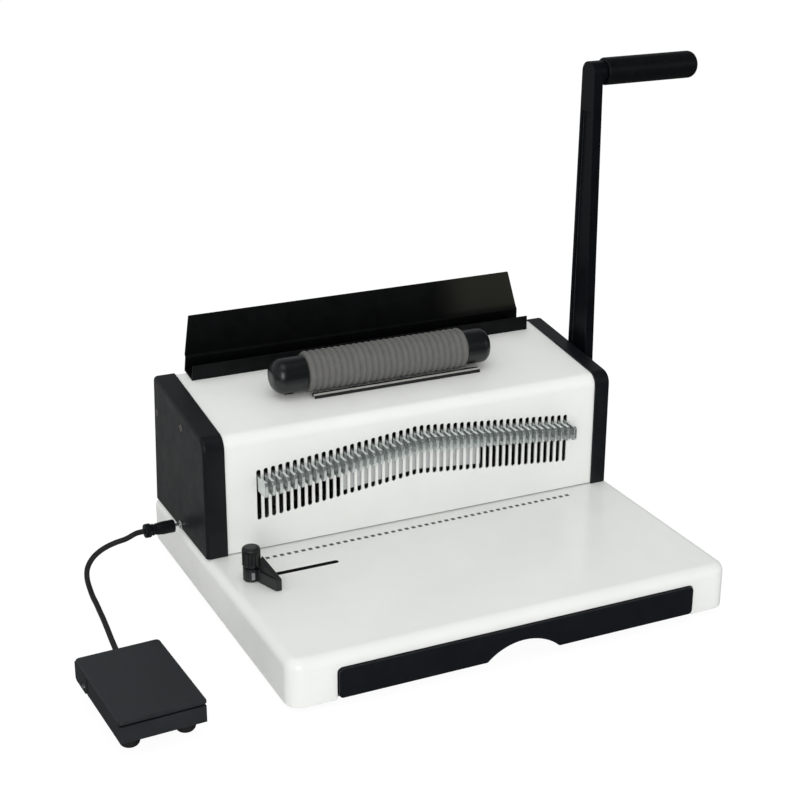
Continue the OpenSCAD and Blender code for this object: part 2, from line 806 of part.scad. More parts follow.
// Loop round both pulleys, at r from their axes
module belt_outline(r) {
    up = roller_z - motor_z;
    along = roller_y - motor_y;
    translate([motor_y, motor_z]) circle(r = r);
    translate([roller_y, roller_z]) circle(r = r);
    translate([motor_y, motor_z]) rotate(atan2(up, along))
        translate([0, -r]) square([norm([up, along]), 2 * r]);
}

module drive_belt() {
    inner = pulley_d / 2 + gap;
    color(rubber) on_machine() along_x(-belt_x - belt_w / 2, -belt_x + belt_w / 2) difference() {
        belt_outline(inner + belt_t);
        belt_outline(inner);
    }
}

module pulley_side() {
    half = belt_w / 2 + 0.5;
    rim = pulley_d / 2 + gap + belt_t;
    polygon([
        [0, -half - 1], [rim, -half - 1], [rim, -half], [pulley_d / 2, -half],
        [pulley_d / 2, half], [rim, half], [rim, half + 1], [0, half + 1]]);
}

module roller_sleeve() {
    length = sleeve_left + sleeve_right;
    step = length / rib_n;
    color("gray") on_machine() turned_x(-sleeve_left, roller_y, roller_z) polygon(concat(
        [[drum_d / 2, length], [drum_d / 2, 0]],
        [for (i = [0:rib_n - 1]) each [
            [sleeve_d / 2 - rib_h, i * step], [sleeve_d / 2, (i + rib_gap / 2) * step],
            [sleeve_d / 2, (i + 1 - rib_gap / 2) * step], [sleeve_d / 2 - rib_h, (i + 1) * step - tiny]]]));
}

module roller_shaft() {
    color(steel) on_machine() {
        rod_x(-sleeve_left, sleeve_right, roller_y, roller_z, drum_d);
        rod_x(-belt_x - belt_room, sleeve_right + housing_right - 4, roller_y, roller_z, axle_d);
    }
}

module roller_pulley() {
    color(dark_steel) on_machine() difference() {
        turned_x(-belt_x, roller_y, roller_z) pulley_side();
        rod_x(-belt_x - belt_w, -belt_x + belt_w, roller_y, roller_z, axle_d);
    }
}

motor_axle = 6;
motor_bore = 8;
motor_face = 11;

module motor_pulley() {
    color(dark_steel) on_machine() {
        turned_x(-belt_x, motor_y, motor_z) pulley_side();
        rod_x(-belt_x, -belt_x + motor_face + motor_bore - 1, motor_y, motor_z, motor_axle);
    }
}

housing_round = 11;
housing_wall = 3;
cap_round = 8;
saddle_y0 = 3;
saddle_y1 = 12;

// Everything under the face of the top sheet
module under_top() {
    along_x(-half_panel, half_panel)
        polygon([[0, 0], [0, top_z(0)], [top_depth, top_z(top_depth)], [top_depth, 0]]);
}

// Bearing housing from the sleeve outwards, with its end rounded to radius r
module housing(length, r) {
    difference() {
        union() {
            turned_x(sleeve_gap, roller_y, roller_z)
                polygon(rounded(
                    [[0, 0], [housing_d / 2, 0], [housing_d / 2, length], [0, length]], [0, 0.6, r, 0]));
            block(span(sleeve_gap, 0, length - r), span(roller_y, saddle_y0, saddle_y1),
                [top_z(0), roller_z]);
        }
        under_top();
        rod_x(sleeve_gap - 1, sleeve_gap + 2 * housing_wall, roller_y, roller_z, roller_bush_d);
        rod_x(sleeve_gap + housing_wall, length - housing_wall, roller_y, roller_z, roller_bush_d);
    }
}

module roller_housing_left() {
    color(black) on_machine() difference() {
        translate([-sleeve_left, 0, 0]) mirror([1, 0, 0]) housing(housing_left, housing_round);
        rod_x(-belt_x - belt_room, -belt_x + belt_room, roller_y, roller_z, 2 * belt_side + 1);
        along_x(-belt_x - belt_room, -belt_x + belt_room) belt_outline(belt_side);
    }
}

module roller_housing_right() {
    color(black) on_machine() translate([sleeve_right, 0, 0]) housing(housing_right, cap_round);
}

module roller_bushes() {
    starts = [-sleeve_left - sleeve_gap - 2 * housing_wall, sleeve_right + sleeve_gap];
    color(bronze) on_machine() for (x = starts)
        difference() {
            rod_x(x, x + 2 * housing_wall, roller_y, roller_z, roller_bush_d);
            rod_x(x - 1, x + 2 * housing_wall + 1, roller_y, roller_z, axle_d + 2 * axle_fit);
        }
}

strip_left = 76;
strip_right = 79;
strip_y0 = 41.5;
strip_y1 = 49;
strip_t = 0.8;
strip_up = 2.4;
strip_foot = 45.5;

module roller_strip() {
    color(zinc) on_machine() along_x(-strip_left, strip_right) polygon([
        [strip_foot, top_z(strip_foot)], [strip_y1, top_z(strip_y1)], [strip_y1, top_z(strip_y1) + strip_t],
        [strip_foot, top_z(strip_foot) + strip_up + strip_t], [strip_y0, top_z(strip_y0) + strip_up],
        [strip_y0, top_z(strip_y0) + strip_up - strip_t], [strip_foot, top_z(strip_foot) + strip_up]]);
}

bracket_t = 3;
bracket_half = 24;
bracket_x = -belt_x + motor_face - bracket_t;
leg_w = 20;
leg_back = 5;
leg_foot = 26;

module roller_motor() {
    face = -belt_x + motor_face;
    gearbox = motor_len * 0.3;
    color(dark_steel) on_machine() difference() {
        union() {
            rod_x(face, face + gearbox, motor_y, motor_z, motor_d);
            rod_x(face + gearbox, face + motor_len, motor_y, motor_z, motor_d - 4);
            rod_x(face + motor_len, face + motor_len + bracket_t, motor_y, motor_z, motor_d / 3);
        }
        rod_x(face - 1, face + motor_bore, motor_y, motor_z, motor_axle + 2 * axle_fit);
    }
}

module motor_bracket() {
    leg = motor_y + leg_back;
    color(zinc) on_machine() difference() {
        union() {
            block(span(bracket_x, 0, bracket_t), about(motor_y, bracket_half), about(motor_z, bracket_half));
            block(span(bracket_x, 0, bracket_t), [leg - leg_w, leg], [base_top, motor_z]);
            block(span(bracket_x, 0, leg_foot), [leg - leg_w, leg], span(base_top, 0, bracket_t));
        }
        rod_x(bracket_x - 1, bracket_x + bracket_t + 1, motor_y, motor_z, motor_axle + 4);
    }
}

board_x = -58;
board_w = 84;
board_y = 75;
board_d = 22;
board_up = 5;
board_t = 1.6;
parts_h = 26;

module power_board() {
    z = base_top + board_up + board_t;
    color("darkgreen") on_machine() {
        block(span(board_x, 0, board_w), span(board_y, 0, board_d), [z - board_t, z]);
        for (x = span(board_x, 6, board_w - 6), y = span(board_y, 5, board_d - 5))
            translate([x, y, base_top]) cylinder(h = board_up, d = 6);
        block(span(board_x, 8, 40), span(board_y, 2, board_d - 3), [z - tiny, z + parts_h]);
        for (x = [50, 66]) translate([board_x + x, board_y + board_d / 2, z - tiny])
            cylinder(h = parts_h - 4, d = 13);
    }
}

// Coil tray on the back edge of the top

tray_lean = 9;
tray_fold = 14;
tray_step = 2;
tray_taper = 4.5;

module coil_tray() {
    y1 = tray_y + tray_floor;
    z1 = top_z(y1);
    fold = [y1 + tray_step, z1 + tray_fold];
    tip = [fold[0] + tray_lean, z1 + tray_back];
    color(black) on_machine() intersection() {
        along_x(-tray_len / 2, tray_len / 2) polygon([
            [tray_y, top_z(tray_y)], [y1, z1], [y1, fold[1] - tray_step], fold, tip, tip - [tray_t, 0],
            fold - [tray_t, 0], [y1 - tray_t, fold[1] - tray_step], [y1 - tray_t, z1 + tray_t],
            [tray_y + tray_t, top_z(tray_y) + tray_t], [tray_y + tray_t, top_z(tray_y) + tray_lip],
            [tray_y, top_z(tray_y) + tray_lip]]);
        along_y(tray_y - 1, tip[0] + 1) polygon([
            [-tray_len / 2, base_top], [tray_len / 2, base_top], [tray_len / 2, z1 + tray_fold],
            [tray_len / 2 - tray_taper, tip[1]], [tray_taper - tray_len / 2, tip[1]],
            [-tray_len / 2, z1 + tray_fold]]);
    }
}

// Sockets and switch

jack_y = 64;
jack_z = base_top + 4;
jack_d = 5.6;
jack_nut = 7;
jack_nut_t = 1.5;
jack_bore = 3.5;
jack_fit = 0.05;
jack_body = 12;

module jack_socket() {
    color(steel) on_machine() difference() {
        union() {
            rod_x(-left_face - jack_nut_t, -left_face, jack_y, jack_z, jack_nut);
            rod_x(-left_face, -left_face + cover_wall + 0.5, jack_y, jack_z, jack_d);
            block(span(-left_face + cover_wall, 0, jack_body), span(jack_y, -5, 5), span(base_top, 0, 9));
        }
        rod_x(-left_face - 2, -left_face + jack_body, jack_y, jack_z, jack_bore + 2 * jack_fit);
    }
}

inlet_x = 120;
inlet_w = 27;
inlet_h = 20;
inlet_z = base_top + 26;
inlet_rim = 2.5;
inlet_depth = 16;
inlet_out = 2;
switch_x = 82;
switch_w = 19;
switch_h = 13;
rocker_deg = 8;

module inlet_frame(x, w, h, wall) {
    y0 = rear_y(inlet_z, 0) - inlet_depth;
    y1 = rear_y(inlet_z, 0) + inlet_out;
    difference() {
        union() {
            block(about(x, w / 2 - gap), [y0, y1], about(inlet_z, h / 2 - gap));
            along_y(rear_y(inlet_z - h / 2 - inlet_rim, 0) + tiny, y1 + 1) polygon(rounded_box(
                about(x, w / 2 + inlet_rim), about(inlet_z, h / 2 + inlet_rim), 2));
        }
        block(about(x, w / 2 - wall), [y0 + wall, y1 + 2], about(inlet_z, h / 2 - wall));
    }
}

module power_inlet() {
    pin_gap = 7;
    color(black) on_machine() {
        inlet_frame(inlet_x, inlet_w, inlet_h, 2.2);
        for (p = [[-pin_gap, -1.5], [0, 2.5], [pin_gap, -1.5]])
            block(span(inlet_x + p[0], -1, 1), span(rear_y(inlet_z, 0) - inlet_depth, 2, inlet_depth - 2),
                span(inlet_z + p[1], -2, 2));
    }
}

module switch_housing() { color(black) on_machine() inlet_frame(switch_x, switch_w, switch_h, 1.5); }

rocker_y = rear_y(inlet_z, 0) - 3;

module rocker_button() {
    w = switch_w / 2 - 1.5 - gap;
    h = switch_h / 2 - 1.5 - 0.5;
    color(dark_steel) on_machine() difference() {
        translate([0, rocker_y, inlet_z]) rotate([rocker_deg, 0, 0])
            along_x(switch_x - w, switch_x + w) polygon([
                [-4, -h + 1.2], [-4, h - 1.2], [4.2, h - 0.4], [3.4, 0], [4.2, 0.4 - h]]);
        rod_x(switch_x - w - 1, switch_x + w + 1, rocker_y, inlet_z, 1);
    }
}

// Drawer for the paper chips

rail_w = 5;
rail_h = 12;

module drawer_front() {
    arch_r = (notch_w * notch_w / 4 + notch_h * notch_h) / (2 * notch_h);
    color(black) on_machine() translate([drawer_x, 0, 0]) difference() {
        along_y(drawer_front_y, drawer_back_y)
            polygon(rounded_box([-1, 1] * drawer_w / 2, span(drawer_z, 0, drawer_h), 3.5));
        translate([0, drawer_back_y + 1, drawer_z + notch_h - arch_r]) rotate([90, 0, 0])
            cylinder(h = drawer_t + 2, r = arch_r, $fn = 96);
    }
}

module drawer_box() {
    wall = 2;
    y0 = drawer_back_y;
    color(black) on_machine() translate([drawer_x, 0, 0]) difference() {
        union() {
            difference() {
                block([-1, 1] * box_half, span(y0, 0, box_d), span(box_floor, 0, box_h));
                block([-1, 1] * (box_half - wall), span(y0, wall, box_d - wall),
                    span(box_floor, wall, box_h + 1));
            }
            block([-1, 1] * (recess_w / 2 + wall), span(y0, 0, recess_d + wall), span(box_floor, 0, box_h));
        }
        block([-1, 1] * recess_w / 2, span(y0, -1, recess_d), [0, base_top]);
    }
}

module drawer_rails() {
    color(zinc) on_machine() translate([drawer_x, 0, 0]) both_sides()
        block(span(box_half + drawer_gap, 0, rail_w), span(drawer_back_y, 6, box_d),
            span(foot_h + plate_t, 0, rail_h));
}

// Margin guide on the base

guide_edge = 14.5;
guide_tip = 28.5;
tip_h = 8.5;
tip_w = 5;
web_t = 4;
web_up = 8.5;
slit_w = 2.6;
slit_turn = -100;
slide_gap = 0.2;
clamp_w = 14;
clamp_t = 3;
stud_fit = 0.05;

module margin_guide() {
    z = base_top + slide_gap;
    boss_d = knob_d - 1;
    start = [knob_d / 2, -2];
    color(black) on_machine() translate([-guide_x, guide_y, 0]) difference() {
        union() {
            translate([0, 0, z]) cylinder(h = block_h, d = boss_d);
            // Low bar, with a web along the side that the paper's edge lies against
            translate([0, 0, z]) linear_extrude(tip_h) polygon([
                [boss_d / 2, 0], [guide_edge, -guide_tip], [guide_edge - tip_w, -guide_tip],
                [boss_d / 8, 0.4 - boss_d / 2], [0, 0]]);
            intersection() {
                translate([0, 0, z]) linear_extrude(block_h + knob_h) polygon([
                    start, [guide_edge, -guide_tip], [guide_edge - web_t, -guide_tip],
                    start - [web_t, 0] - [0, knob_d / 3]]);
                along_x(-knob_d, guide_edge + 1) polygon([
                    [-guide_tip, z], [-guide_tip, z + tip_h],
                    [start[1], z + block_h + web_up], [start[1], z]]);
            }
        }
        translate([0, 0, z + block_h]) cylinder(h = knob_h, d = knob_d + 1);
        translate([0, 0, z - 1]) cylinder(h = block_h + 2, d = stud_d + 2 * stud_fit);
        rotate([0, 0, slit_turn]) block([stud_d, knob_d], [-1, 1] * slit_w / 2, span(z, 2, block_h - 3));
    }
}

module guide_clamp() {
    z = base_top - base_wall - slide_gap;
    color(zinc) on_machine() difference() {
        translate([-guide_x, guide_y, 0])
            block([-1, 1] * clamp_w / 2, [-1, 1] * clamp_w / 2, [z - clamp_t, z]);
        translate([-guide_x, guide_y, z - clamp_t - 1]) cylinder(h = clamp_t + 2, d = stud_d + 2 * stud_fit);
    }
}

grip_ribs = 14;

module guide_knob() {
    z = base_top + slide_gap + block_h + slide_gap;
    low = base_top - base_wall - slide_gap - clamp_t;
    dome = knob_d / 3;
    ring = 5.5;
    color(black) on_machine() translate([-guide_x, guide_y, 0]) {
        difference() {
            translate([0, 0, z]) rotate_extrude()
                polygon(rounded(
                    [[0, 0], [knob_d / 2, 0], [knob_d / 2, knob_h], [0, knob_h]], [0, 0.6, dome, 0]));
            for (k = [0:grip_ribs - 1]) rotate([0, 0, 360 * k / grip_ribs])
                translate([knob_d / 2 + 0.4, 0, z + 1.5])
                    cylinder(h = knob_h - ring - 1.5, d = 1.8, $fn = 16);
        }
        translate([0, 0, low - 2]) cylinder(h = z - low + 2, d = stud_d);
    }
}

// Foot pedal, drawn in its own frame: its middle at the origin and its front towards -y

treadle_t = 2;
treadle_top = 2.5;
pan_gap = 1.5;
pan_t = 2;
pan_rear = 4;
pan_half = treadle_w / 2 - treadle_t - pan_gap;
pan_back = treadle_l / 2 - pan_rear;
pan_front = treadle_l / 2 - 10;
hinge_y = treadle_l / 2 - 20;
skirt_z = pedal_h - skirt_h;
hinge_z = skirt_z + hinge_d / 2 + 2;
hinge_fit = 0.05;
press_deg = 1.3;
cheek_h = hinge_z - pedal_foot_h + hinge_d / 2 + 1.5;
ear_y0 = hinge_y - 6;
box_in = 0.8;
box_half_w = treadle_w / 2 - box_in;
box_front_y = box_in - treadle_l / 2;
box_y1 = ear_y0 - 2;
// Top of the box's walls, which the pressed treadle just clears
function wall_top(y) = pedal_h - treadle_top - 0.3 - (hinge_y - y) * tan(press_deg);

module pedal_pan() {
    color(dark_steel) on_pedal() difference() {
        union() {
            block([-1, 1] * pan_half, [-pan_front, pan_back], span(pedal_foot_h, 0, pan_t));
            // Cheeks that hold the hinge pin, joined by the rear wall
            for (x = [-pan_half, pan_half - pan_t]) {
                block([x, x + pan_t], [ear_y0, pan_back], span(pedal_foot_h, 0, cheek_h));
                block([x, x + pan_t], [-pan_front, pan_back], [pedal_foot_h, skirt_z + pan_t]);
            }
            block([-1, 1] * pan_half, [pan_back - pan_t, pan_back], span(pedal_foot_h, 0, cheek_h - 1));
            block([-1, 1] * pan_half, [-pan_front, pan_t - pan_front], [pedal_foot_h, skirt_z + pan_t]);
            // Flange and outer walls under the treadle
            difference() {
                along_x(-box_half_w, box_half_w) polygon([
                    [box_front_y, skirt_z], [box_y1, skirt_z], [box_y1, wall_top(box_y1)],
                    [box_front_y, wall_top(box_front_y)]]);
                block([-1, 1] * (box_half_w - pan_t), [box_front_y + pan_t, box_y1 + 1],
                    [skirt_z + pan_t, pedal_h]);
                block([-1, 1] * (pan_half - tiny), [tiny - pan_front, box_y1 + 1], [0, pedal_h]);
            }
        }
        rod_x(-pan_half - 1, pan_half + 1, hinge_y, hinge_z, hinge_d);
        translate([lead_x, pan_back + 1, lead_z]) rotate([90, 0, 0]) cylinder(h = pan_t + 2, d = lead_d + 2);
    }
}

pedal_foot_inset = 12;

module pedal_feet() {
    r = pedal_foot_d / 2;
    color(rubber) on_pedal()
        for (x = [-1, 1] * (treadle_w / 2 - pedal_foot_inset), y = [-pan_front + r, pan_back - r - 2])
            translate([x, y, 0]) rotate_extrude()
                polygon(rounded([[0, 0], [r, 0], [r, pedal_foot_h], [0, pedal_foot_h]], [0, r / 2, 0, 0]));
}

module pedal_pin() {
    color(steel) on_pedal()
        rod_x(-treadle_w / 2 - 1, treadle_w / 2 + 1, hinge_y, hinge_z, hinge_d);
}

module pedal_treadle() {
    y = treadle_l / 2;
    color(black) on_pedal() difference() {
        union() {
            along_x(-treadle_w / 2, treadle_w / 2) polygon(rounded([
                [-y, pedal_h - treadle_top], [y, pedal_h - treadle_top], [y, pedal_h], [-y, pedal_h]],
                [0.4, 0, 1, 1.9]));
            // Ears on the hinge pin
            both_sides() along_x(treadle_w / 2 - treadle_t, treadle_w / 2) polygon(rounded([
                [ear_y0, skirt_z], [y, skirt_z], [y, pedal_h - 1], [ear_y0, pedal_h - 1]], [3, 3, 0, 0]));
        }
        rod_x(-treadle_w, treadle_w, hinge_y, hinge_z, hinge_d + 2 * hinge_fit);
    }
}

spring_len = 14;

module pedal_spring() {
    steps = 8;
    turns = 6.75;
    r = hinge_d / 2 + 0.8 + 0.6;
    coil = [
        for (i = [0:turns * steps]) let (a = 360 * i / steps)
            [spring_len * (i / (turns * steps) - 0.5), hinge_y + r * cos(a), hinge_z + r * sin(a)]];
    leg = [spring_len / 2 + 2, hinge_y - 16, pedal_foot_h + pan_t + 0.6 + tiny];
    color(steel) on_pedal() tube(concat(coil, [leg]), 1.2, 6, [1, 0, 0]);
}

module pedal_switch() {
    y = -treadle_l / 6;
    z = pedal_foot_h + pan_t;
    color(dark_steel) on_pedal() {
        block([-10, 10], [y - 5, y + 5], span(z, 0, 9));
        translate([3, y, z]) cylinder(h = wall_top(y) - z, d = 3);
    }
}

// Lead from the plug to the pedal

lead_x = 4;
lead_z = 13;
gland_len = 12;
plug_d = 11;
plug_len = 26;
plug_gap = 5;
plug_x = -left_face - jack_nut_t - plug_gap;

lead_start = [plug_x - plug_len, jack_y, jack_z];
gland_end = [lead_x, pan_back + gland_len, lead_z];
lead_end = [
    -pedal_left + gland_end[0] * cos(pedal_turn) - gland_end[1] * sin(pedal_turn),
    -pedal_ahead + gland_end[0] * sin(pedal_turn) + gland_end[1] * cos(pedal_turn), gland_end[2]];
lead_way = [
    [-238, 63.5, 43.5], [-247, 66, 40.5], [-255.5, 69, 36], [-262.5, 71, 30.5],
    [-267.5, 71.5, 24.5], [-270.5, 71, 18], [-271.5, 68.5, 11], [-271.5, 62, 5.5],
    [-272, 51, 2.9], [-272.5, 39, 2.5], [-273.5, 26, 2.5], [-274.5, 12, 2.5],
    [-276, -4, 2.7], [-278.5, -25, 4.2], [-281, -44, 7.2], [-283.5, -60, 10.6]];
lead_route = concat([lead_start, lead_start - [7, 0, 0.5]], lead_way,
    [lead_end + 7 * [-sin(pedal_turn), cos(pedal_turn), 0], lead_end]);

module pedal_cord() { color(rubber) on_machine() tube(smooth(lead_route, 3), lead_d, 8, [0, 0, 1]); }

module pedal_gland() {
    y = pan_back - pan_t;
    color(rubber) on_pedal() translate([lead_x, y, lead_z]) rotate([-90, 0, 0]) rotate_extrude() polygon([
        [0, 0], [lead_d / 2 + 1, 0], [lead_d / 2 + 1, pan_t + tiny], [lead_d / 2 + 2.5, pan_t + tiny],
        [lead_d / 2 + 2.5, pan_t + 2], [lead_d / 2 + 0.8, gland_len + pan_t], [0, gland_len + pan_t]]);
}

module pedal_plug() {
    r = plug_d / 2;
    tip = plug_gap + jack_nut_t + jack_body;
    color(black) on_machine() {
        rod_x(plug_x - 1, plug_x + tip, jack_y, jack_z, jack_bore);
        turned_x(plug_x - plug_len, jack_y, jack_z) polygon([
            [0, 0], [r * 0.6, 0], [r * 1.05, 2], [r * 1.1, 5], [r * 0.82, 9], [r * 0.9, 12],
            [r, 16], [r, plug_len - 1], [r - 1, plug_len], [0, plug_len]]);
    }
}

base_cover();
base_plate();
rubber_feet();
body_cover();
rear_panel();
left_cover();
right_cover();
left_frame();
right_frame();
die_block();
pin_guide();
guide_posts();
top_tie();
rear_tie();
return_spring();
shaft_bushes();
coil_tray();
roller_housing_left();
roller_housing_right();
roller_bushes();
roller_strip();
roller_motor();
motor_bracket();
drive_belt();
power_board();
jack_socket();
power_inlet();
switch_housing();
drawer_rails();
cover_screws();
punch_shaft();
pinions();
lever_arm();
lever_grip();
grip_rod();
hub_bolt();
punch_beam();
beam_plate();
racks();
punch_pins();
pull_tabs();
roller_sleeve();
roller_shaft();
roller_pulley();
motor_pulley();
drawer_box();
drawer_front();
margin_guide();
guide_clamp();
guide_knob();
rocker_button();
pedal_pan();
pedal_feet();
pedal_pin();
pedal_spring();
pedal_switch();
pedal_gland();
pedal_treadle();
pedal_cord();
pedal_plug();
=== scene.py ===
"""The looks of a desktop coil binding machine and its foot pedal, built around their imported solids."""

import math

import bmesh
import bpy
from mathutils import Matrix, Vector


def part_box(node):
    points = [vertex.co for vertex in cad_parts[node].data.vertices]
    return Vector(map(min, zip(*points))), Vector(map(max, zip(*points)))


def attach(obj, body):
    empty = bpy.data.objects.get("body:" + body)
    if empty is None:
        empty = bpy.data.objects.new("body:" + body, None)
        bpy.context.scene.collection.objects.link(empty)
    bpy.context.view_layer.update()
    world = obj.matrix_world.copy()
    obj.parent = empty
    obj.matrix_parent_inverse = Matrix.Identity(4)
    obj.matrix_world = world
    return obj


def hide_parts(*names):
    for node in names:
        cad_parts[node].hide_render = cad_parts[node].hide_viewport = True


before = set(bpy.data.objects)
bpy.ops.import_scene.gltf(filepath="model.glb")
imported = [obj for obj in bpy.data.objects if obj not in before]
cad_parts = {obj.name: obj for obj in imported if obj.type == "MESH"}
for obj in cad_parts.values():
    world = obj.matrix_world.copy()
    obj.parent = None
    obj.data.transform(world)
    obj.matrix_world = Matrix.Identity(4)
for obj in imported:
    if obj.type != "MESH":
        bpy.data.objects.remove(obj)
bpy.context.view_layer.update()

MM = 0.001
X, Y, Z = Vector((1, 0, 0)), Vector((0, 1, 0)), Vector((0, 0, 1))

# The machine's own frame: x from the middle of the pin row, y from the face of the front panel
MACHINE = Vector((13.5, 22.0, 0.0)) * MM
# The pedal's own frame: its middle on the floor, turned a little
PEDAL = MACHINE + Vector((-287.5, -133.5, 0.0)) * MM
PEDAL_TURN = Matrix.Rotation(math.radians(2.5), 4, "Z")

# The top sheet's height at the front panel, and its slope
TOP_FRONT, TOP_SLOPE = 145.0, math.radians(6.6)


def on_machine(x, y, z):
    return MACHINE + Vector((x, y, z)) * MM


def on_pedal(x, y, z):
    return PEDAL + PEDAL_TURN @ (Vector((x, y, z)) * MM)


# Camera

CAMERA_PLACE = (-0.556656, -1.145206, 0.659060)
CAMERA_TURN = (68.63294, -0.22892, -25.26713)
CAMERA_LENS = 75.525
CAMERA_SENSOR = 36.0


def make_camera():
    data = bpy.data.cameras.new("camera")
    data.lens = CAMERA_LENS
    data.sensor_width = CAMERA_SENSOR
    camera = bpy.data.objects.new("camera", data)
    camera.location = CAMERA_PLACE
    camera.rotation_euler = [math.radians(a) for a in CAMERA_TURN]
    bpy.context.scene.collection.objects.link(camera)
    bpy.context.scene.camera = camera


make_camera()


# Node groups that several finishes share

def add(tree, kind, inputs=None, **settings):
    """A new node, with each input set to a value or joined to another node's socket."""
    node = tree.nodes.new(kind)
    for name, value in settings.items():
        setattr(node, name, value)
    for name, value in (inputs or {}).items():
        if isinstance(value, bpy.types.NodeSocket):
            tree.links.new(value, node.inputs[name])
        else:
            node.inputs[name].default_value = value
    return node


def new_group(name, inputs, outputs):
    tree = bpy.data.node_groups.new(name, "ShaderNodeTree")
    for socket, (kind, value) in inputs.items():
        tree.interface.new_socket(socket, in_out="INPUT", socket_type=kind).default_value = value
    for socket, kind in outputs.items():
        tree.interface.new_socket(socket, in_out="OUTPUT", socket_type=kind)
    return tree, add(tree, "NodeGroupInput").outputs, add(tree, "NodeGroupOutput").inputs


def calc(tree, operation, a, b):
    return add(tree, "ShaderNodeMath", {0: a, 1: b}, operation=operation).outputs[0]


def ramp(tree, value, start, end, low=0.0, high=1.0, **settings):
    """A value that goes from low to high while the given one goes from start to end."""
    limits = {0: value, 1: start, 2: end, 3: low, 4: high}
    return add(tree, "ShaderNodeMapRange", limits, clamp=True, **settings).outputs[0]


def object_place(tree):
    return add(tree, "ShaderNodeTexCoord").outputs["Object"]


def per_length(tree, length):
    """Scale of a pattern whose features are as long as this."""
    return calc(tree, "DIVIDE", 1.0, length)


def mix_colour(tree, factor, a, b):
    return add(tree, "ShaderNodeMix", {0: factor, 6: a, 7: b}, data_type="RGBA").outputs[2]


def make_tone_group():
    """Colour that drifts between two tones, with the same drift as a value."""
    tree, given, out = new_group(
        "tone",
        {"Dark": ("NodeSocketColor", (0, 0, 0, 1)), "Light": ("NodeSocketColor", (1, 1, 1, 1)),
         "Patch": ("NodeSocketFloat", 0.03)},
        {"Color": "NodeSocketColor", "Drift": "NodeSocketFloat"})
    scale = per_length(tree, given["Patch"])
    noise = add(tree, "ShaderNodeTexNoise", {
        "Vector": object_place(tree), "Scale": scale, "Detail": 6.0, "Roughness": 0.62}).outputs[0]
    drift = ramp(tree, noise, 0.3, 0.7)
    tree.links.new(drift, out["Drift"])
    tree.links.new(mix_colour(tree, drift, given["Dark"], given["Light"]), out["Color"])
    return tree


def make_grain_group():
    """Height of a fine moulded or sprayed grain, drawn out by Stretch."""
    tree, given, out = new_group(
        "grain",
        {"Size": ("NodeSocketFloat", 0.0005), "Stretch": ("NodeSocketVector", (1, 1, 1))},
        {"Height": "NodeSocketFloat"})
    pull = {0: object_place(tree), 1: given["Stretch"]}
    drawn = add(tree, "ShaderNodeVectorMath", pull, operation="MULTIPLY").outputs[0]
    pattern = {"Vector": drawn, "Scale": per_length(tree, given["Size"])}
    coarse = add(tree, "ShaderNodeTexNoise", {**pattern, "Detail": 3.0}).outputs[0]
    cells = add(tree, "ShaderNodeTexVoronoi", pattern, feature="SMOOTH_F1").outputs[0]
    tree.links.new(calc(tree, "ADD", coarse, cells), out["Height"])
    return tree


def make_rub_group():
    """Mask of the outer edges, broken up as handling breaks it."""
    tree, given, out = new_group(
        "edge_rub",
        {"Start": ("NodeSocketFloat", 0.52), "Full": ("NodeSocketFloat", 0.62)},
        {"Mask": "NodeSocketFloat"})
    edge = add(tree, "ShaderNodeNewGeometry").outputs["Pointiness"]
    patches = add(tree, "ShaderNodeTexNoise", {
        "Vector": object_place(tree), "Scale": 90.0, "Detail": 5.0}).outputs[0]
    mask = ramp(tree, edge, given["Start"], given["Full"])
    tree.links.new(calc(tree, "MULTIPLY", mask, patches), out["Mask"])
    return tree


def make_dust_group():
    """Mask of the dust that settles on what faces up."""
    tree, given, out = new_group(
        "dust", {"Speck": ("NodeSocketFloat", 0.0012)}, {"Mask": "NodeSocketFloat"})
    normal = add(tree, "ShaderNodeNewGeometry").outputs["Normal"]
    up = add(tree, "ShaderNodeSeparateXYZ", {0: normal}).outputs["Z"]
    scale = per_length(tree, given["Speck"])
    specks = add(tree, "ShaderNodeTexNoise", {
        "Vector": object_place(tree), "Scale": scale, "Detail": 8.0, "Roughness": 0.7}).outputs[0]
    few = ramp(tree, specks, 0.56, 0.8)
    facing = ramp(tree, up, 0.2, 0.9)
    tree.links.new(calc(tree, "MULTIPLY", few, facing), out["Mask"])
    return tree


TONE = make_tone_group()
GRAIN = make_grain_group()
RUB = make_rub_group()
DUST = make_dust_group()


def use(tree, group, inputs):
    """The outputs of a group that is placed in a material."""
    return add(tree, "ShaderNodeGroup", inputs, node_tree=group).outputs


def rgb(red, green, blue):
    return (red, green, blue, 1.0)


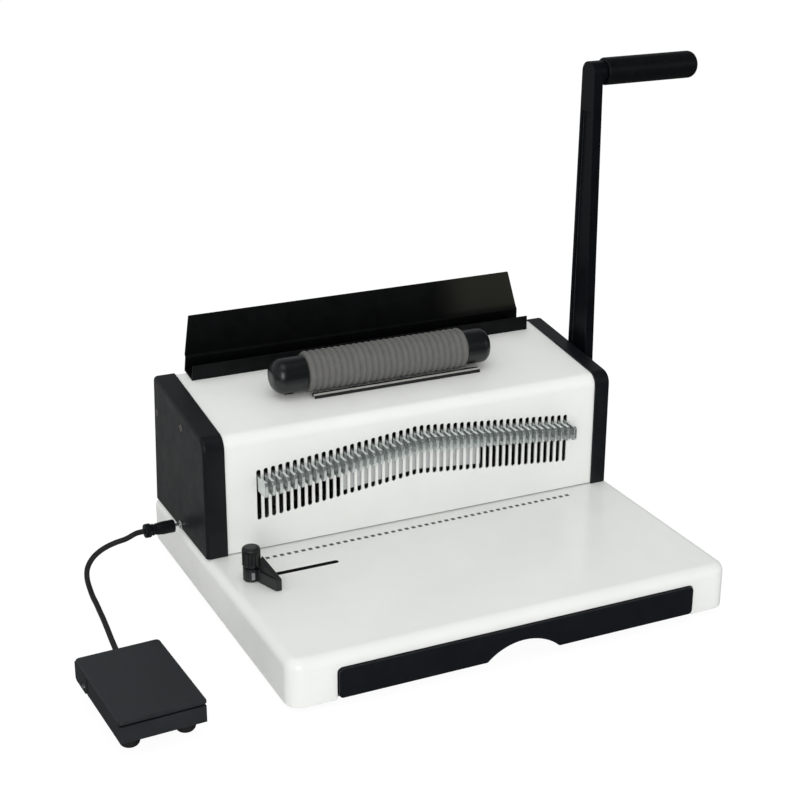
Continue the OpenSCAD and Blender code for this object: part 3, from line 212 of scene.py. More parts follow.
def finish(
        name, dark, light, patch, rough, grain, height, stretch=(1, 1, 1), rub=None, dust=None, **constant):
    """A surface with drifting tone and gloss and a fine grain, and with rubbed edges or dust if given.

    patch, grain and height are lengths in millimetres, and constant sets the shader's own sockets.
    """
    material = bpy.data.materials.new(name)
    material.use_nodes = True
    tree = material.node_tree
    shader = tree.nodes["Principled BSDF"]
    for socket, value in constant.items():
        shader.inputs[socket.replace("_", " ")].default_value = value
    tone = use(tree, TONE, {"Dark": rgb(*dark), "Light": rgb(*light), "Patch": patch * MM})
    colour = tone["Color"]
    if rub:
        mask = use(tree, RUB, {"Start": rub["start"], "Full": rub["full"]})["Mask"]
        colour = mix_colour(tree, mask, colour, rgb(*rub["colour"]))
    if dust:
        mask = use(tree, DUST, {"Speck": dust["speck"] * MM})["Mask"]
        colour = mix_colour(tree, mask, colour, rgb(*dust["colour"]))
    tree.links.new(colour, shader.inputs["Base Color"])
    tree.links.new(ramp(tree, tone["Drift"], 0.0, 1.0, *rough), shader.inputs["Roughness"])
    bumps = use(tree, GRAIN, {"Size": grain * MM, "Stretch": stretch})["Height"]
    normal = add(tree, "ShaderNodeBump", {"Height": bumps, "Distance": height * MM}).outputs[0]
    tree.links.new(normal, shader.inputs["Normal"])
    return material


# Finishes

BLACK_RUB = {"start": 0.53, "full": 0.66, "colour": (0.03, 0.032, 0.034)}
BLACK_DUST = {"speck": 0.9, "colour": (0.03, 0.03, 0.029)}
RUBBER_DUST = {"speck": 1.4, "colour": (0.045, 0.044, 0.04)}

white_moulding = finish(
    "white_moulding", (0.765, 0.771, 0.743), (0.8, 0.805, 0.776), 60, (0.2, 0.27), 0.8, 0.003)
white_coat = finish(
    "white_coat", (0.785, 0.791, 0.765), (0.82, 0.825, 0.8), 45, (0.32, 0.4), 1.3, 0.006)
black_moulding = finish(
    "black_moulding", (0.0024, 0.0037, 0.005), (0.0038, 0.0057, 0.0074), 14, (0.36, 0.46), 0.45, 0.012,
    rub=BLACK_RUB, dust=BLACK_DUST, Specular_IOR_Level=0.22)
drawer_moulding = finish(
    "drawer_moulding", (0.0034, 0.0047, 0.0072), (0.0052, 0.0072, 0.0105), 22, (0.34, 0.44), 0.45, 0.01,
    rub=BLACK_RUB, dust=BLACK_DUST, Specular_IOR_Level=0.3)
smooth_moulding = finish(
    "smooth_moulding", (0.001, 0.0022, 0.003), (0.002, 0.0039, 0.005), 11, (0.3, 0.36), 0.4, 0.003,
    rub=BLACK_RUB, dust=BLACK_DUST, Specular_IOR_Level=0.6)
guide_moulding = finish(
    "guide_moulding", (0.0065, 0.0092, 0.0088), (0.0105, 0.014, 0.0134), 9, (0.36, 0.46), 0.4, 0.006,
    rub=BLACK_RUB, dust=BLACK_DUST, Specular_IOR_Level=0.42)
black_coat = finish(
    "black_coat", (0.0012, 0.0018, 0.0029), (0.0023, 0.0034, 0.0052), 25, (0.36, 0.46), 0.7, 0.01,
    rub=BLACK_RUB, dust=BLACK_DUST, Specular_IOR_Level=0.15)
tray_coat = finish(
    "tray_coat", (0.001, 0.0011, 0.0012), (0.002, 0.0022, 0.0024), 25, (0.3, 0.38), 0.7, 0.004,
    rub=BLACK_RUB, Specular_IOR_Level=0.08)
treadle_coat = finish(
    "treadle_coat", (0.012, 0.0145, 0.0165), (0.0185, 0.0222, 0.025), 18, (0.42, 0.55), 0.5, 0.012,
    rub=BLACK_RUB, dust=BLACK_DUST, Specular_IOR_Level=0.35)
grip_moulding = finish(
    "grip_moulding", (0.0018, 0.0021, 0.0027), (0.0034, 0.004, 0.005), 9, (0.36, 0.46), 0.35, 0.01,
    rub=BLACK_RUB, dust=BLACK_DUST, Specular_IOR_Level=0.18)
black_rubber = finish(
    "black_rubber", (0.008, 0.008, 0.008), (0.016, 0.016, 0.016), 5, (0.62, 0.78), 0.3, 0.012,
    dust=RUBBER_DUST, Specular_IOR_Level=0.3)
bright_plate = finish(
    "bright_plate", (0.62, 0.64, 0.64), (0.76, 0.78, 0.78), 4, (0.18, 0.3), 0.4, 0.002,
    stretch=(1, 0.1, 1), Metallic=1.0)
tab_plate = finish(
    "tab_plate", (0.58, 0.62, 0.615), (0.78, 0.825, 0.815), 5, (0.16, 0.26), 0.4, 0.003,
    stretch=(1, 0.1, 1), Metallic=0.87)
ground_steel = finish(
    "ground_steel", (0.5, 0.5, 0.51), (0.64, 0.64, 0.65), 6, (0.24, 0.36), 0.25, 0.004,
    stretch=(0.06, 1, 1), Metallic=1.0)
zinc_plate = finish(
    "zinc_plate", (0.56, 0.58, 0.58), (0.74, 0.76, 0.75), 5, (0.3, 0.45), 0.5, 0.005, Metallic=1.0)
dull_zinc = finish(
    "dull_zinc", (0.48, 0.495, 0.49), (0.58, 0.595, 0.59), 8, (0.48, 0.6), 0.5, 0.006, Metallic=0.3)
pointer_metal = finish(
    "pointer_metal", (0.2, 0.2, 0.215), (0.28, 0.28, 0.295), 3, (0.4, 0.5), 0.3, 0.004, Metallic=0.1)
screw_steel = finish(
    "screw_steel", (0.075, 0.066, 0.06), (0.12, 0.108, 0.1), 4, (0.4, 0.5), 0.3, 0.005, Metallic=0.3)
dark_steel = finish(
    "dark_steel", (0.03, 0.03, 0.033), (0.07, 0.07, 0.072), 5, (0.38, 0.52), 0.4, 0.006, Metallic=1.0)
sintered_bronze = finish(
    "sintered_bronze", (0.34, 0.2, 0.085), (0.5, 0.32, 0.15), 2, (0.38, 0.55), 0.2, 0.01, Metallic=1.0)
strip_metal = finish(
    "strip_metal", (0.52, 0.51, 0.47), (0.62, 0.61, 0.57), 8, (0.34, 0.46), 0.3, 0.004,
    stretch=(0.05, 1, 1), Metallic=0.1)
mark_ink = finish(
    "mark_ink", (0.055, 0.058, 0.059), (0.08, 0.083, 0.085), 1, (0.5, 0.62), 0.2, 0.002)
board_green = finish(
    "board_green", (0.012, 0.08, 0.03), (0.02, 0.13, 0.05), 3, (0.3, 0.42), 0.3, 0.004)
ribbed_rubber = finish(
    "ribbed_rubber", (0.104, 0.103, 0.097), (0.126, 0.124, 0.117), 6, (0.62, 0.74), 0.4, 0.012,
    rub={"start": 0.5, "full": 0.6, "colour": (0.17, 0.167, 0.158)}, dust=RUBBER_DUST, Specular_IOR_Level=0.3)


# Shaping

# Vertices closer than this are one
SAME_PLACE = 0.002 * MM
# Angles in degrees: edges over the first are rounded, edges under the second are shaded smooth
SHARP_OVER = 32
SMOOTH_UNDER = 34


def merged(bm):
    bmesh.ops.remove_doubles(bm, verts=bm.verts, dist=SAME_PLACE)
    bmesh.ops.recalc_face_normals(bm, faces=bm.faces)
    return bm


def sharp_edges(bm, angle):
    return [e for e in bm.edges if len(e.link_faces) == 2 and e.calc_face_angle() > math.radians(angle)]


def round_edges(bm, edges, width, segments=3, clamp=False):
    bmesh.ops.bevel(
        bm, geom=edges, offset=width * MM, offset_type="OFFSET", affect="EDGES", segments=segments,
        profile=0.5, material=-1, clamp_overlap=clamp)
    return bm


def cad_copy(node, soft, segments=2, clamp=False):
    """A copy of a node's mesh, merged, with its sharp edges rounded."""
    flat = math.radians(0.4)
    bm = bmesh.new()
    bm.from_mesh(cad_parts[node].data)
    bmesh.ops.remove_doubles(bm, verts=bm.verts, dist=SAME_PLACE)
    bmesh.ops.dissolve_limit(bm, angle_limit=flat, verts=bm.verts, edges=bm.edges)
    if soft:
        round_edges(bm, sharp_edges(bm, SHARP_OVER), soft, segments, clamp)
    return bm


def spun(profile, place, axis, steps, closed=False):
    """A body of revolution. Its profile is a list of (along the axis, radius) in millimetres."""
    bm = bmesh.new()
    side = axis.orthogonal().normalized()
    verts = [bm.verts.new(place + axis * (along * MM) + side * (radius * MM)) for along, radius in profile]
    pairs = list(zip(verts, verts[1:]))
    if closed:
        pairs.append((verts[-1], verts[0]))
    edges = [bm.edges.new(pair) for pair in pairs]
    bmesh.ops.spin(
        bm, geom=verts + edges, cent=place, axis=axis, angle=math.tau, steps=steps, use_merge=True)
    return merged(bm)


def fillet(along, radius, size, start, steps):
    """Points of a rounded corner of a profile, a quarter turn round (along, radius) from start in degrees."""
    turns = [math.radians(start - 90 * i / steps) for i in range(steps + 1)]
    return [(along + size * math.cos(turn), radius + size * math.sin(turn)) for turn in turns]


def join(bm, other):
    """Adds another bmesh's faces to this one."""
    mesh = bpy.data.meshes.new("joined")
    other.to_mesh(mesh)
    other.free()
    bm.from_mesh(mesh)
    bpy.data.meshes.remove(mesh)
    return bm


def bar(low, high):
    """A closed box between two corners."""
    size = high - low
    bm = bmesh.new()
    bmesh.ops.create_cube(
        bm, size=1.0, matrix=Matrix.Translation((low + high) / 2) @ Matrix.Diagonal((*size, 1.0)))
    return bm


def extruded(bm, faces):
    """The vertices of the far end of an extruded region, still in place."""
    grown = bmesh.ops.extrude_face_region(bm, geom=faces)["geom"]
    return [v for v in grown if isinstance(v, bmesh.types.BMVert)]


def prism(outline, low, top, place):
    """A closed block over an outline in millimetres, whose top is at the height top(x, y)."""
    bm = bmesh.new()
    foot = bm.faces.new([bm.verts.new(place + Vector((x, y, low)) * MM) for x, y in outline])
    for vert in extruded(bm, [foot]):
        x, y = ((vert.co - place) / MM).xy
        vert.co.z = place.z + top(x, y) * MM
    return merged(bm)


def piece(name, bm, material, body, replaced=()):
    """A finished piece that rides on a body and stands for the nodes that it replaces."""
    mesh = bpy.data.meshes.new(name)
    bm.to_mesh(mesh)
    bm.free()
    mesh.materials.append(material)
    mesh.polygons.foreach_set("use_smooth", [True] * len(mesh.polygons))
    mesh.set_sharp_from_angle(angle=math.radians(SMOOTH_UNDER))
    made = bpy.data.objects.new(name, mesh)
    bpy.context.scene.collection.objects.link(made)
    even = made.modifiers.new("even_shading", "WEIGHTED_NORMAL")
    even.keep_sharp = True
    even.weight = 80
    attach(made, body)
    if replaced:
        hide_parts(*replaced)
    return made


def middle(node):
    low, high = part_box(node)
    return (low + high) / 2


# Lead from the plug to the pedal, in the machine's frame

LEAD_D = 4.5
LEAD_WAY = [
    (-238, 63.5, 43.5), (-247, 66, 40.5), (-255.5, 69, 36), (-262.5, 71, 30.5), (-267.5, 71.5, 24.5),
    (-270.5, 71, 18), (-271.5, 68.5, 11), (-271.5, 62, 5.5), (-272, 51, 2.9), (-272.5, 39, 2.5),
    (-273.5, 26, 2.5), (-274.5, 12, 2.5), (-276, -4, 2.7), (-278.5, -25, 4.2), (-281, -44, 7.2),
    (-283.5, -60, 10.6)]
PLUG_END = on_machine(-222, 64, 47)
PLUG_RUN = on_machine(-229, 64, 46.5)
GLAND_END = on_pedal(4, 58, 13)
GLAND_RUN = on_pedal(4, 65, 13)


def make_lead():
    """Lead along a smooth curve through its points. Gives the lead and its length."""
    route = [PLUG_END, PLUG_RUN, *(on_machine(*p) for p in LEAD_WAY), GLAND_RUN, GLAND_END]
    data = bpy.data.curves.new("pedal_lead", "CURVE")
    data.dimensions = "3D"
    data.bevel_depth = LEAD_D * MM / 2
    data.bevel_resolution = 6
    data.resolution_u = 8
    data.use_fill_caps = True
    spline = data.splines.new("BEZIER")
    spline.bezier_points.add(len(route) - 1)
    for i, (knot, point) in enumerate(zip(spline.bezier_points, route)):
        slope = (route[min(i + 1, len(route) - 1)] - route[max(i - 1, 0)]) / 6
        knot.co = point
        knot.handle_left = point - slope
        knot.handle_right = point + slope
    data.materials.append(black_rubber)
    lead = bpy.data.objects.new("pedal_lead", data)
    bpy.context.scene.collection.objects.link(lead)
    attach(lead, "machine")
    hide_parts("pedal_cord")
    length = sum(s.calc_length() for s in data.splines)
    return lead, length


lead, lead_length = make_lead()


def make_plug():
    """Moulded plug with a belled, grooved end where the lead leaves it."""
    bell = [(0, 0), (0, 3.2), *fillet(1.2, 4.7, 1.2, 180, 4), (4.4, 6.0)]
    neck = [(5.4, 5.6), (5.6, 4.6), (6.6, 4.5), (6.9, 5.0), (8.1, 4.9), (8.4, 4.4), (9.6, 4.4), (9.9, 4.9)]
    barrel = [(12, 5), (15.5, 5.5), *fillet(25.2, 4.7, 0.8, 90, 4), (26, 1.75), (26, 0)]
    body = piece(
        "plug_body", spun(bell + neck + barrel, PLUG_END, X, 40), black_moulding, "machine",
        ["pedal_plug"])
    contact = [
        (25, 0), (25, 1.75), (30.4, 1.75), (30.8, 1.55), (31.4, 1.55), (31.8, 1.75), (42, 1.75), (43, 1),
        (43, 0)]
    tip = piece("plug_tip", spun(contact, PLUG_END, X, 32), bright_plate, "machine")
    return [body, tip]


plug_pieces = make_plug()


# Base

def make_base():
    """Moulded base on four rubber feet."""
    piece("base_shell", cad_copy("base_cover", 0.35), white_moulding, "machine",
          ["base_cover"])
    low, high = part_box("rubber_feet")
    top_r, tall = 11.0, high.z / MM
    foot = [(0, 0), (0, 8.6), *fillet(1.2, 8.8, 1.2, 180, 4), (tall, top_r), (tall, 0)]
    feet = bmesh.new()
    for x in (low.x + top_r * MM, high.x - top_r * MM):
        for y in (low.y + top_r * MM, high.y - top_r * MM):
            join(feet, spun(foot, Vector((x, y, 0)), Z, 40))
    piece("base_feet", feet, black_rubber, "machine", ["rubber_feet"])


def make_marks():
    """Row of dashes printed on the base, one for each pin."""
    count, pitch, aside = 46, 6.29, -2.0
    ahead, skew = 15.55, 0.0129
    half = Vector((1.7, 1.9, 0.02))
    base_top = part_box("base_cover")[1].z / MM
    marks = bmesh.new()
    for i in range(count):
        x = pitch * (i - (count - 1) / 2) + aside
        at = Vector((x, skew * x - ahead, base_top))
        join(marks, bar(on_machine(*(at - half)), on_machine(*(at + half))))
    piece("punch_marks", marks, mark_ink, "machine")


def make_slot_shade():
    """Thin dark sheet on the walls of the margin guide's slot, as painted shade in the slot."""
    left, right, ahead = -168.0, -96.0, 46.5
    radius, wall, sunk, deep, steps = 2.48, 0.26, 0.1, 2.9, 12
    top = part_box("base_cover")[1].z / MM - sunk
    shade_sheet = bmesh.new()
    rim = []
    for centre, start in ((right, -90), (left, 90)):
        for i in range(steps + 1):
            turn = math.radians(start + 180 * i / steps)
            place = on_machine(centre + radius * math.cos(turn), -ahead + radius * math.sin(turn), top)
            rim.append(shade_sheet.verts.new(place))
    inside = shade_sheet.faces.new(rim)
    inside.normal_update()
    bmesh.ops.inset_region(
        shade_sheet, faces=[inside], use_boundary=True, use_even_offset=True, thickness=wall * MM)
    shade_sheet.faces.remove(inside)
    bmesh.ops.translate(shade_sheet, verts=extruded(shade_sheet, shade_sheet.faces[:]), vec=-Z * deep * MM)
    # Painted shade: the dark sheet stands for the shade inside the slot
    piece("guide_slot_painted_shade", merged(shade_sheet), black_rubber, "machine")


make_base()
make_marks()
make_slot_shade()


# Body

def make_body_sheet():
    """Bent sheet, whose front panel comes down close over the base."""
    bm = cad_copy("body_cover", 0.12)
    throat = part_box("body_cover")[0].z
    edge, lower = 0.3 * MM, 0.9 * MM
    for vert in bm.verts:
        if vert.co.z < throat + edge:
            vert.co.z -= lower
    piece("body_sheet", bm, white_coat, "machine", ["body_cover"])


make_body_sheet()


def make_back_sheet():
    """Back sheet, with its upper edge drawn up under the top sheet's end."""
    bm = cad_copy("rear_panel", 0.25)
    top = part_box("rear_panel")[1].z
    edge, rise, lean = 0.5 * MM, 3.8 * MM, 0.55 * MM
    for vert in bm.verts:
        if vert.co.z > top - edge:
            vert.co.z += rise
            vert.co.y -= lean
    piece("back_sheet", bm, white_coat, "machine", ["rear_panel"])


make_back_sheet()
for side in ("left_cover", "right_cover"):
    piece(side + "_moulding", cad_copy(side, 0.3), black_moulding, "machine", [side])


def make_cover_screws():
    """Domed screw heads with a cross recess."""
    low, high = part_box("cover_screws")
    head_r, steps = 3.2, 48
    inset, seat = head_r * MM, 1.2 * MM
    recess_from, recess_deep, half_width, reach = 0.7 * MM, 0.9 * MM, 0.42 * MM, 1.9 * MM
    heads = bmesh.new()
    dome = [
        (-0.6, 0), (-0.6, 2.7), (-0.2, head_r), (0.25, 3.0), (0.6, 2.5), (0.75, 2.1), (0.85, 1.7),
        (0.95, 1.2), (1.02, 0.7), (1.02, 0)]
    for y, z in ((high.y - inset, low.z + inset), (low.y + inset, high.z - inset)):
        for x, out in ((low.x + seat, -X), (high.x - seat, X)):
            place = Vector((x, y, z))
            head = spun(dome, place, out, steps)
            for vert in head.verts:
                flat = vert.co - place
                near, far = sorted((abs(flat.y), abs(flat.z)))
                if flat.dot(out) > recess_from and near < half_width and far < reach:
                    vert.co -= out * recess_deep
            join(heads, head)
    piece("cover_screw_heads", heads, screw_steel, "machine", ["cover_screws"])


make_cover_screws()


# Coil tray

def paint_tray_end_sheen(low):
    """Paints a brownish sheen on the back of the tray towards its right end, a painted reflection."""
    sheen_brown = rgb(0.019, 0.0185, 0.0145)
    start, full = on_machine(75, 0, 0).x, on_machine(120, 0, 0).x
    foot, clear = low.z + 14 * MM, low.z + 20 * MM
    tree = tray_coat.node_tree
    colour = tree.nodes["Principled BSDF"].inputs["Base Color"]
    axes = add(tree, "ShaderNodeSeparateXYZ", {0: object_place(tree)}).outputs
    along = ramp(tree, axes["X"], start, full, interpolation_type="SMOOTHSTEP")
    mask = calc(tree, "MULTIPLY", along, ramp(tree, axes["Z"], foot, clear))
    tree.links.new(mix_colour(tree, mask, colour.links[0].from_socket, sheen_brown), colour)


def make_tray():
    """Folded tray, whose back is cut back further at its left end."""
    bm = cad_copy("coil_tray", 0)
    low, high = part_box("coil_tray")
    end, cut_back = low.x + 20 * MM, 4.6 * MM
    bend_over, bend_r, long_edge = 18, 0.55, (high.x - low.x) / 2
    edge_over, edge_r = 40, 0.3
    for vert in bm.verts:
        if vert.co.x < end:
            vert.co.x += cut_back * (vert.co.z - low.z) / (high.z - low.z)
    bends = [
        e for e in sharp_edges(bm, bend_over) if abs((e.verts[1].co - e.verts[0].co).x) > long_edge]
    round_edges(bm, bends, bend_r, 3)
    round_edges(bm, sharp_edges(bm, edge_over), edge_r, 2)
    # Painted reflection: a brownish sheen on the tray's back towards its right end
    paint_tray_end_sheen(low)
    piece("coil_tray_sheet", bm, tray_coat, "machine", ["coil_tray"])


make_tray()


# Roller

def make_sleeve():
    """Soft sleeve with round ribs."""
    low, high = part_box("roller_sleeve")
    length, outer = (high.x - low.x) / MM, (high.z - low.z) / MM / 2
    ribs, depth, drum = 26, 1.4, 12.0
    step, end_r = length / ribs, outer - depth - 0.6
    points = [(0, drum), (0, end_r)]
    for i in range(ribs):
        for t in (0.04, 0.14, 0.26, 0.38, 0.5, 0.62, 0.74, 0.86, 0.96):
            points.append(((i + t) * step, outer - depth * (1 - math.sin(math.pi * t))))
    points += [(length, end_r), (length, drum)]
    at = middle("roller_sleeve")
    sleeve = spun(points, Vector((low.x, at.y, at.z)), X, 72, closed=True)
    piece("roller_sleeve_rubber", sleeve, ribbed_rubber, "roller", ["roller_sleeve"])


def make_housing(side):
    """End housing, slimmer than its solid outside the bearing, but not where it sits on the sheet."""
    bearing_r, outer_r, slimmer = 9.5, 15.7, 0.06
    level_share, rise_share = 1.2, 1.6
    axis = middle("roller_sleeve")
    bm = cad_copy(side, 0)
    for vert in bm.verts:
        out = Vector((0, vert.co.y - axis.y, vert.co.z - axis.z))
        if bearing_r * MM < out.length < outer_r * MM:
            share = min(1, max(0, level_share + rise_share * out.z / out.length))
            vert.co -= out * slimmer * share
    piece(side + "_cap", bm, smooth_moulding, "machine", [side])


make_sleeve()
for side in ("roller_housing_left", "roller_housing_right"):
    make_housing(side)


def cut_at(bm, place, normal):
    """Takes away what lies past a plane and closes the cut."""
    bmesh.ops.bisect_plane(
        bm, geom=bm.verts[:] + bm.edges[:] + bm.faces[:], plane_co=place, plane_no=normal, clear_outer=True)
    bmesh.ops.holes_fill(bm, edges=[e for e in bm.edges if e.is_boundary])
    return merged(bm)


def make_strip():
    """Ledge in front of the roller, its front part bright, its rear part dark steel as painted shade under
    the sleeve, and a black rubber bar along its foot as the painted shadow under its front edge.
    """
    low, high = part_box("roller_strip")
    soft, bright, thick, rise = 0.15, 2.3 * MM, 1.2 * MM, 2.4 * MM
    shade = Vector((0, low.y + bright, 0))
    piece("roller_strip_metal", cut_at(cad_copy("roller_strip", soft), shade, Y), strip_metal, "machine",
          ["roller_strip"])
    # Painted shade: the strip's rear part, where the sleeve shades it, is made dark steel
    piece("roller_strip_painted_shade", cut_at(cad_copy("roller_strip", soft), shade, -Y), dark_steel, "machine")
    # Painted shadow: a black bar in front of the ledge's edge, where the gap under it lies in shadow
    foot = TOP_FRONT * MM + (low.y - MACHINE.y) * math.tan(TOP_SLOPE)
    edge = bar(Vector((low.x, low.y - thick, foot)), Vector((high.x, low.y, foot + rise)))
    piece("roller_strip_painted_shadow", edge, black_rubber, "machine")


make_strip()


# Lever

def make_arm():
    """Lever's arm, a little broader at the back than its solid, above the hub."""
    bm = cad_copy("lever_arm", 0.6, 3)
    hub, grip = middle("punch_shaft"), middle("lever_grip")
    broader, clear = 2.0 * MM, 25 * MM
    for vert in bm.verts:
        height = vert.co.z - hub.z
        centre = hub.y + (grip.y - hub.y) * height / (grip.z - hub.z)
        if height > clear and vert.co.y > centre:
            vert.co.y += broader * min(1, (height - clear) / clear)
    piece("lever_arm_casting", bm, black_coat, "lever", ["lever_arm"])


make_arm()
piece("hub_bolt_head", cad_copy("hub_bolt", 0.4), zinc_plate, "lever", ["hub_bolt"])


def make_grip():
    """Round grip with a blind bore for its rod."""
    low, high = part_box("lever_grip")
    length, outer = (high.x - low.x) / MM, (high.z - low.z) / MM / 2
    rod, end, rim = 5.0, 7.0, 1.5
    bore = length - 2 * end
    points = [
        (bore, 0), (bore, rod), (0, rod), (0, outer - rim), *fillet(rim, outer - rim, rim, 180, 5),
        *fillet(length - end, outer - end, end, 90, 10), (length, 0)]
    at = middle("lever_grip")
    piece("lever_grip_sleeve", spun(points, Vector((low.x, at.y, at.z)), X, 64), grip_moulding, "lever",
          ["lever_grip"])


make_grip()


# Punch

piece("pull_tab_row", cad_copy("pull_tabs", 0.3), tab_plate, "punch", ["pull_tabs"])


def make_beam_plate():
    """Sheet behind the middle slots, cut short on the right, with a leg back to the beam."""
    right, leg_t, leg_h = 60.3, 1.2, 8.0
    bm = cad_copy("beam_plate", 0)
    cut_at(bm, on_machine(right, 0, 0), X)
    low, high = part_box("beam_plate")
    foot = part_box("punch_beam")[0].z
    join(bm, bar(
        Vector((on_machine(right - leg_t, 0, 0).x, low.y, foot)),
        Vector((on_machine(right, 0, 0).x, high.y, foot + leg_h * MM))))
    piece("beam_plate_sheet", bm, dull_zinc, "punch", ["beam_plate"])


make_beam_plate()


# Drawer

piece("drawer_panel", cad_copy("drawer_front", 0.9, 3), drawer_moulding, "drawer",
      ["drawer_front"])
piece("drawer_tray", cad_copy("drawer_box", 0.4), black_moulding, "drawer", ["drawer_box"])


# Margin guide

def make_margin_stop():
    """Boss under the knob, with a low bar and a sloping web for the paper's edge. Gives the boss's place."""
    low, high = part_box("margin_guide")
    boss_r, boss_h, bore, tip_h, web_h = 7.0, 10.5, 2.05, 10.0, 20.5
    boss_rim, bar_rim, web_y, web_foot = 0.7, 0.5, -3.3, 2.0
    place = Vector((low.x + boss_r * MM, high.y - boss_r * MM, low.z))
    reach, edge = (low.y - place.y) / MM, (high.x - place.x) / MM
    boss = [
        (0, bore), (0, boss_r - 0.3), (0.3, boss_r),
        *fillet(boss_h - boss_rim, boss_r - boss_rim, boss_rim, 90, 4), (boss_h, bore)]
    stop = spun(boss, place, Z, 56, closed=True)
    bar_plan = [(boss_r - 0.4, 0), (edge, reach), (edge - 5, reach), (boss_r / 4, 0.4 - boss_r), (2.5, -1.5)]
    bar_part = prism(bar_plan, 0.0, lambda x, y: tip_h, place)
    join(stop, round_edges(bar_part, sharp_edges(bar_part, SHARP_OVER), bar_rim))
    web_plan = [(7.9, web_y), (edge - 0.05, reach + 0.05), (edge - 4, reach + 0.05), (3.8, -7.7)]
    web = prism(
        web_plan, web_foot, lambda x, y: tip_h + (web_h - tip_h) * (y - reach) / (web_y - reach), place)
    join(stop, round_edges(web, sharp_edges(web, SHARP_OVER), bar_rim))
    piece("margin_stop", stop, guide_moulding, "margin_guide", ["margin_guide"])
    return place


def make_pointer(place):
    """Small grey tongue, lighter than the boss, in the face of the stop's boss."""
    low, high = Vector((5.6, -1.25, 2.2)) * MM, Vector((7.08, 1.25, 8.2)) * MM
    turn = Matrix.Rotation(math.radians(-100), 4, "Z")
    pointer = bar(low, high)
    bmesh.ops.transform(pointer, matrix=Matrix.Translation(place) @ turn, verts=pointer.verts)
    piece("margin_pointer", pointer, pointer_metal, "margin_guide")


make_pointer(make_margin_stop())


def make_knob():
    """Clamp knob with a domed top, a ring under it and flutes down its side."""
    low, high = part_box("guide_knob")
    at = middle("guide_knob")
    radius, tall, solid_tall, stud = (high.x - low.x) / MM / 2, 17.6, 19.0, 2.0
    foot = (high.z - low.z) / MM - solid_tall
    ring, dome = foot + 14.3, 2.7
    flutes, flute_depth = 12, 1.1
    points = [
        (0, 0), (0, stud - 0.4), (0.4, stud), (foot, stud), (foot, radius - 2.2), (foot + 1.5, radius - 2.2),
        (foot + 2, radius - 0.3), (foot + 2.4, radius), (foot + 3.2, radius), (foot + 8, radius),
        (ring - 1.2, radius), (ring - 0.5, radius),
        (ring - 0.2, radius - 0.7), (ring + 0.5, radius - 0.7), (ring + 0.8, radius - 0.1),
        *fillet(foot + tall - dome, radius - dome - 0.1, dome, 90, 8), (foot + tall, 0)]
    bm = spun(points, Vector((at.x, at.y, low.z)), Z, flutes * 8)
    for vert in bm.verts:
        along = (vert.co.z - low.z) / MM
        if foot + 3 < along < ring - 0.9:
            out = Vector((vert.co.x - at.x, vert.co.y - at.y, 0))
            wave = 0.5 - 0.5 * math.cos(flutes * math.atan2(out.y, out.x))
            vert.co -= out.normalized() * flute_depth * MM * wave
    piece("guide_knob_cap", bm, guide_moulding, "guide_knob", ["guide_knob"])


make_knob()


# Sockets and switch

piece("jack_nut", cad_copy("jack_socket", 0.25), bright_plate, "machine", ["jack_socket"])
piece("inlet_shell", cad_copy("power_inlet", 0.3), black_moulding, "machine",
      ["power_inlet"])
piece("switch_shell", cad_copy("switch_housing", 0.3), black_moulding, "machine",
      ["switch_housing"])
piece("rocker_cap", cad_copy("rocker_button", 0.3), grip_moulding, "rocker",
      ["rocker_button"])


# Foot pedal

# The treadle's pressed top stands this much above its plain solid
PEDAL_CROWN = 2.2


def make_treadle():
    """Pressed plate with round corners and edges, and the ears that hold it on the hinge pin."""
    half_w, half_l, top, thick, corner, rim = 33.0, 50.0, 27.0, 2.5, 3.4, 1.3
    high, hair = top + PEDAL_CROWN, 0.05
    plate = bar(Vector((-half_w, -half_l, high - thick)) * MM, Vector((half_w, half_l, high)) * MM)
    upright = [e for e in plate.edges if abs(e.verts[0].co.z - e.verts[1].co.z) > MM]
    round_edges(plate, upright, corner, 6)
    upper = [e for e in plate.edges if min(v.co.z for v in e.verts) > (high - hair) * MM]
    round_edges(plate, upper, rim, 4)
    bmesh.ops.transform(plate, matrix=Matrix.Translation(PEDAL) @ PEDAL_TURN, verts=plate.verts)
    ears = cad_copy("pedal_treadle", 0)
    cut_at(ears, Z * (top - thick - hair) * MM, Z)
    for vert in ears.verts:
        if vert.co.z > (top - thick - 2 * hair) * MM:
            vert.co.z += PEDAL_CROWN * MM
    piece("treadle_plate", join(plate, ears), treadle_coat, "treadle", ["pedal_treadle"])


make_treadle()


def make_pedal_tray():
    """Folded pan, its outer walls raised as the treadle is."""
    hinge_top = 19.5 * MM
    bm = cad_copy("pedal_pan", 0.25, clamp=True)
    for vert in bm.verts:
        if vert.co.z > hinge_top:
            vert.co.z += PEDAL_CROWN * MM
    piece("pedal_tray", bm, treadle_coat, "machine", ["pedal_pan"])


make_pedal_tray()


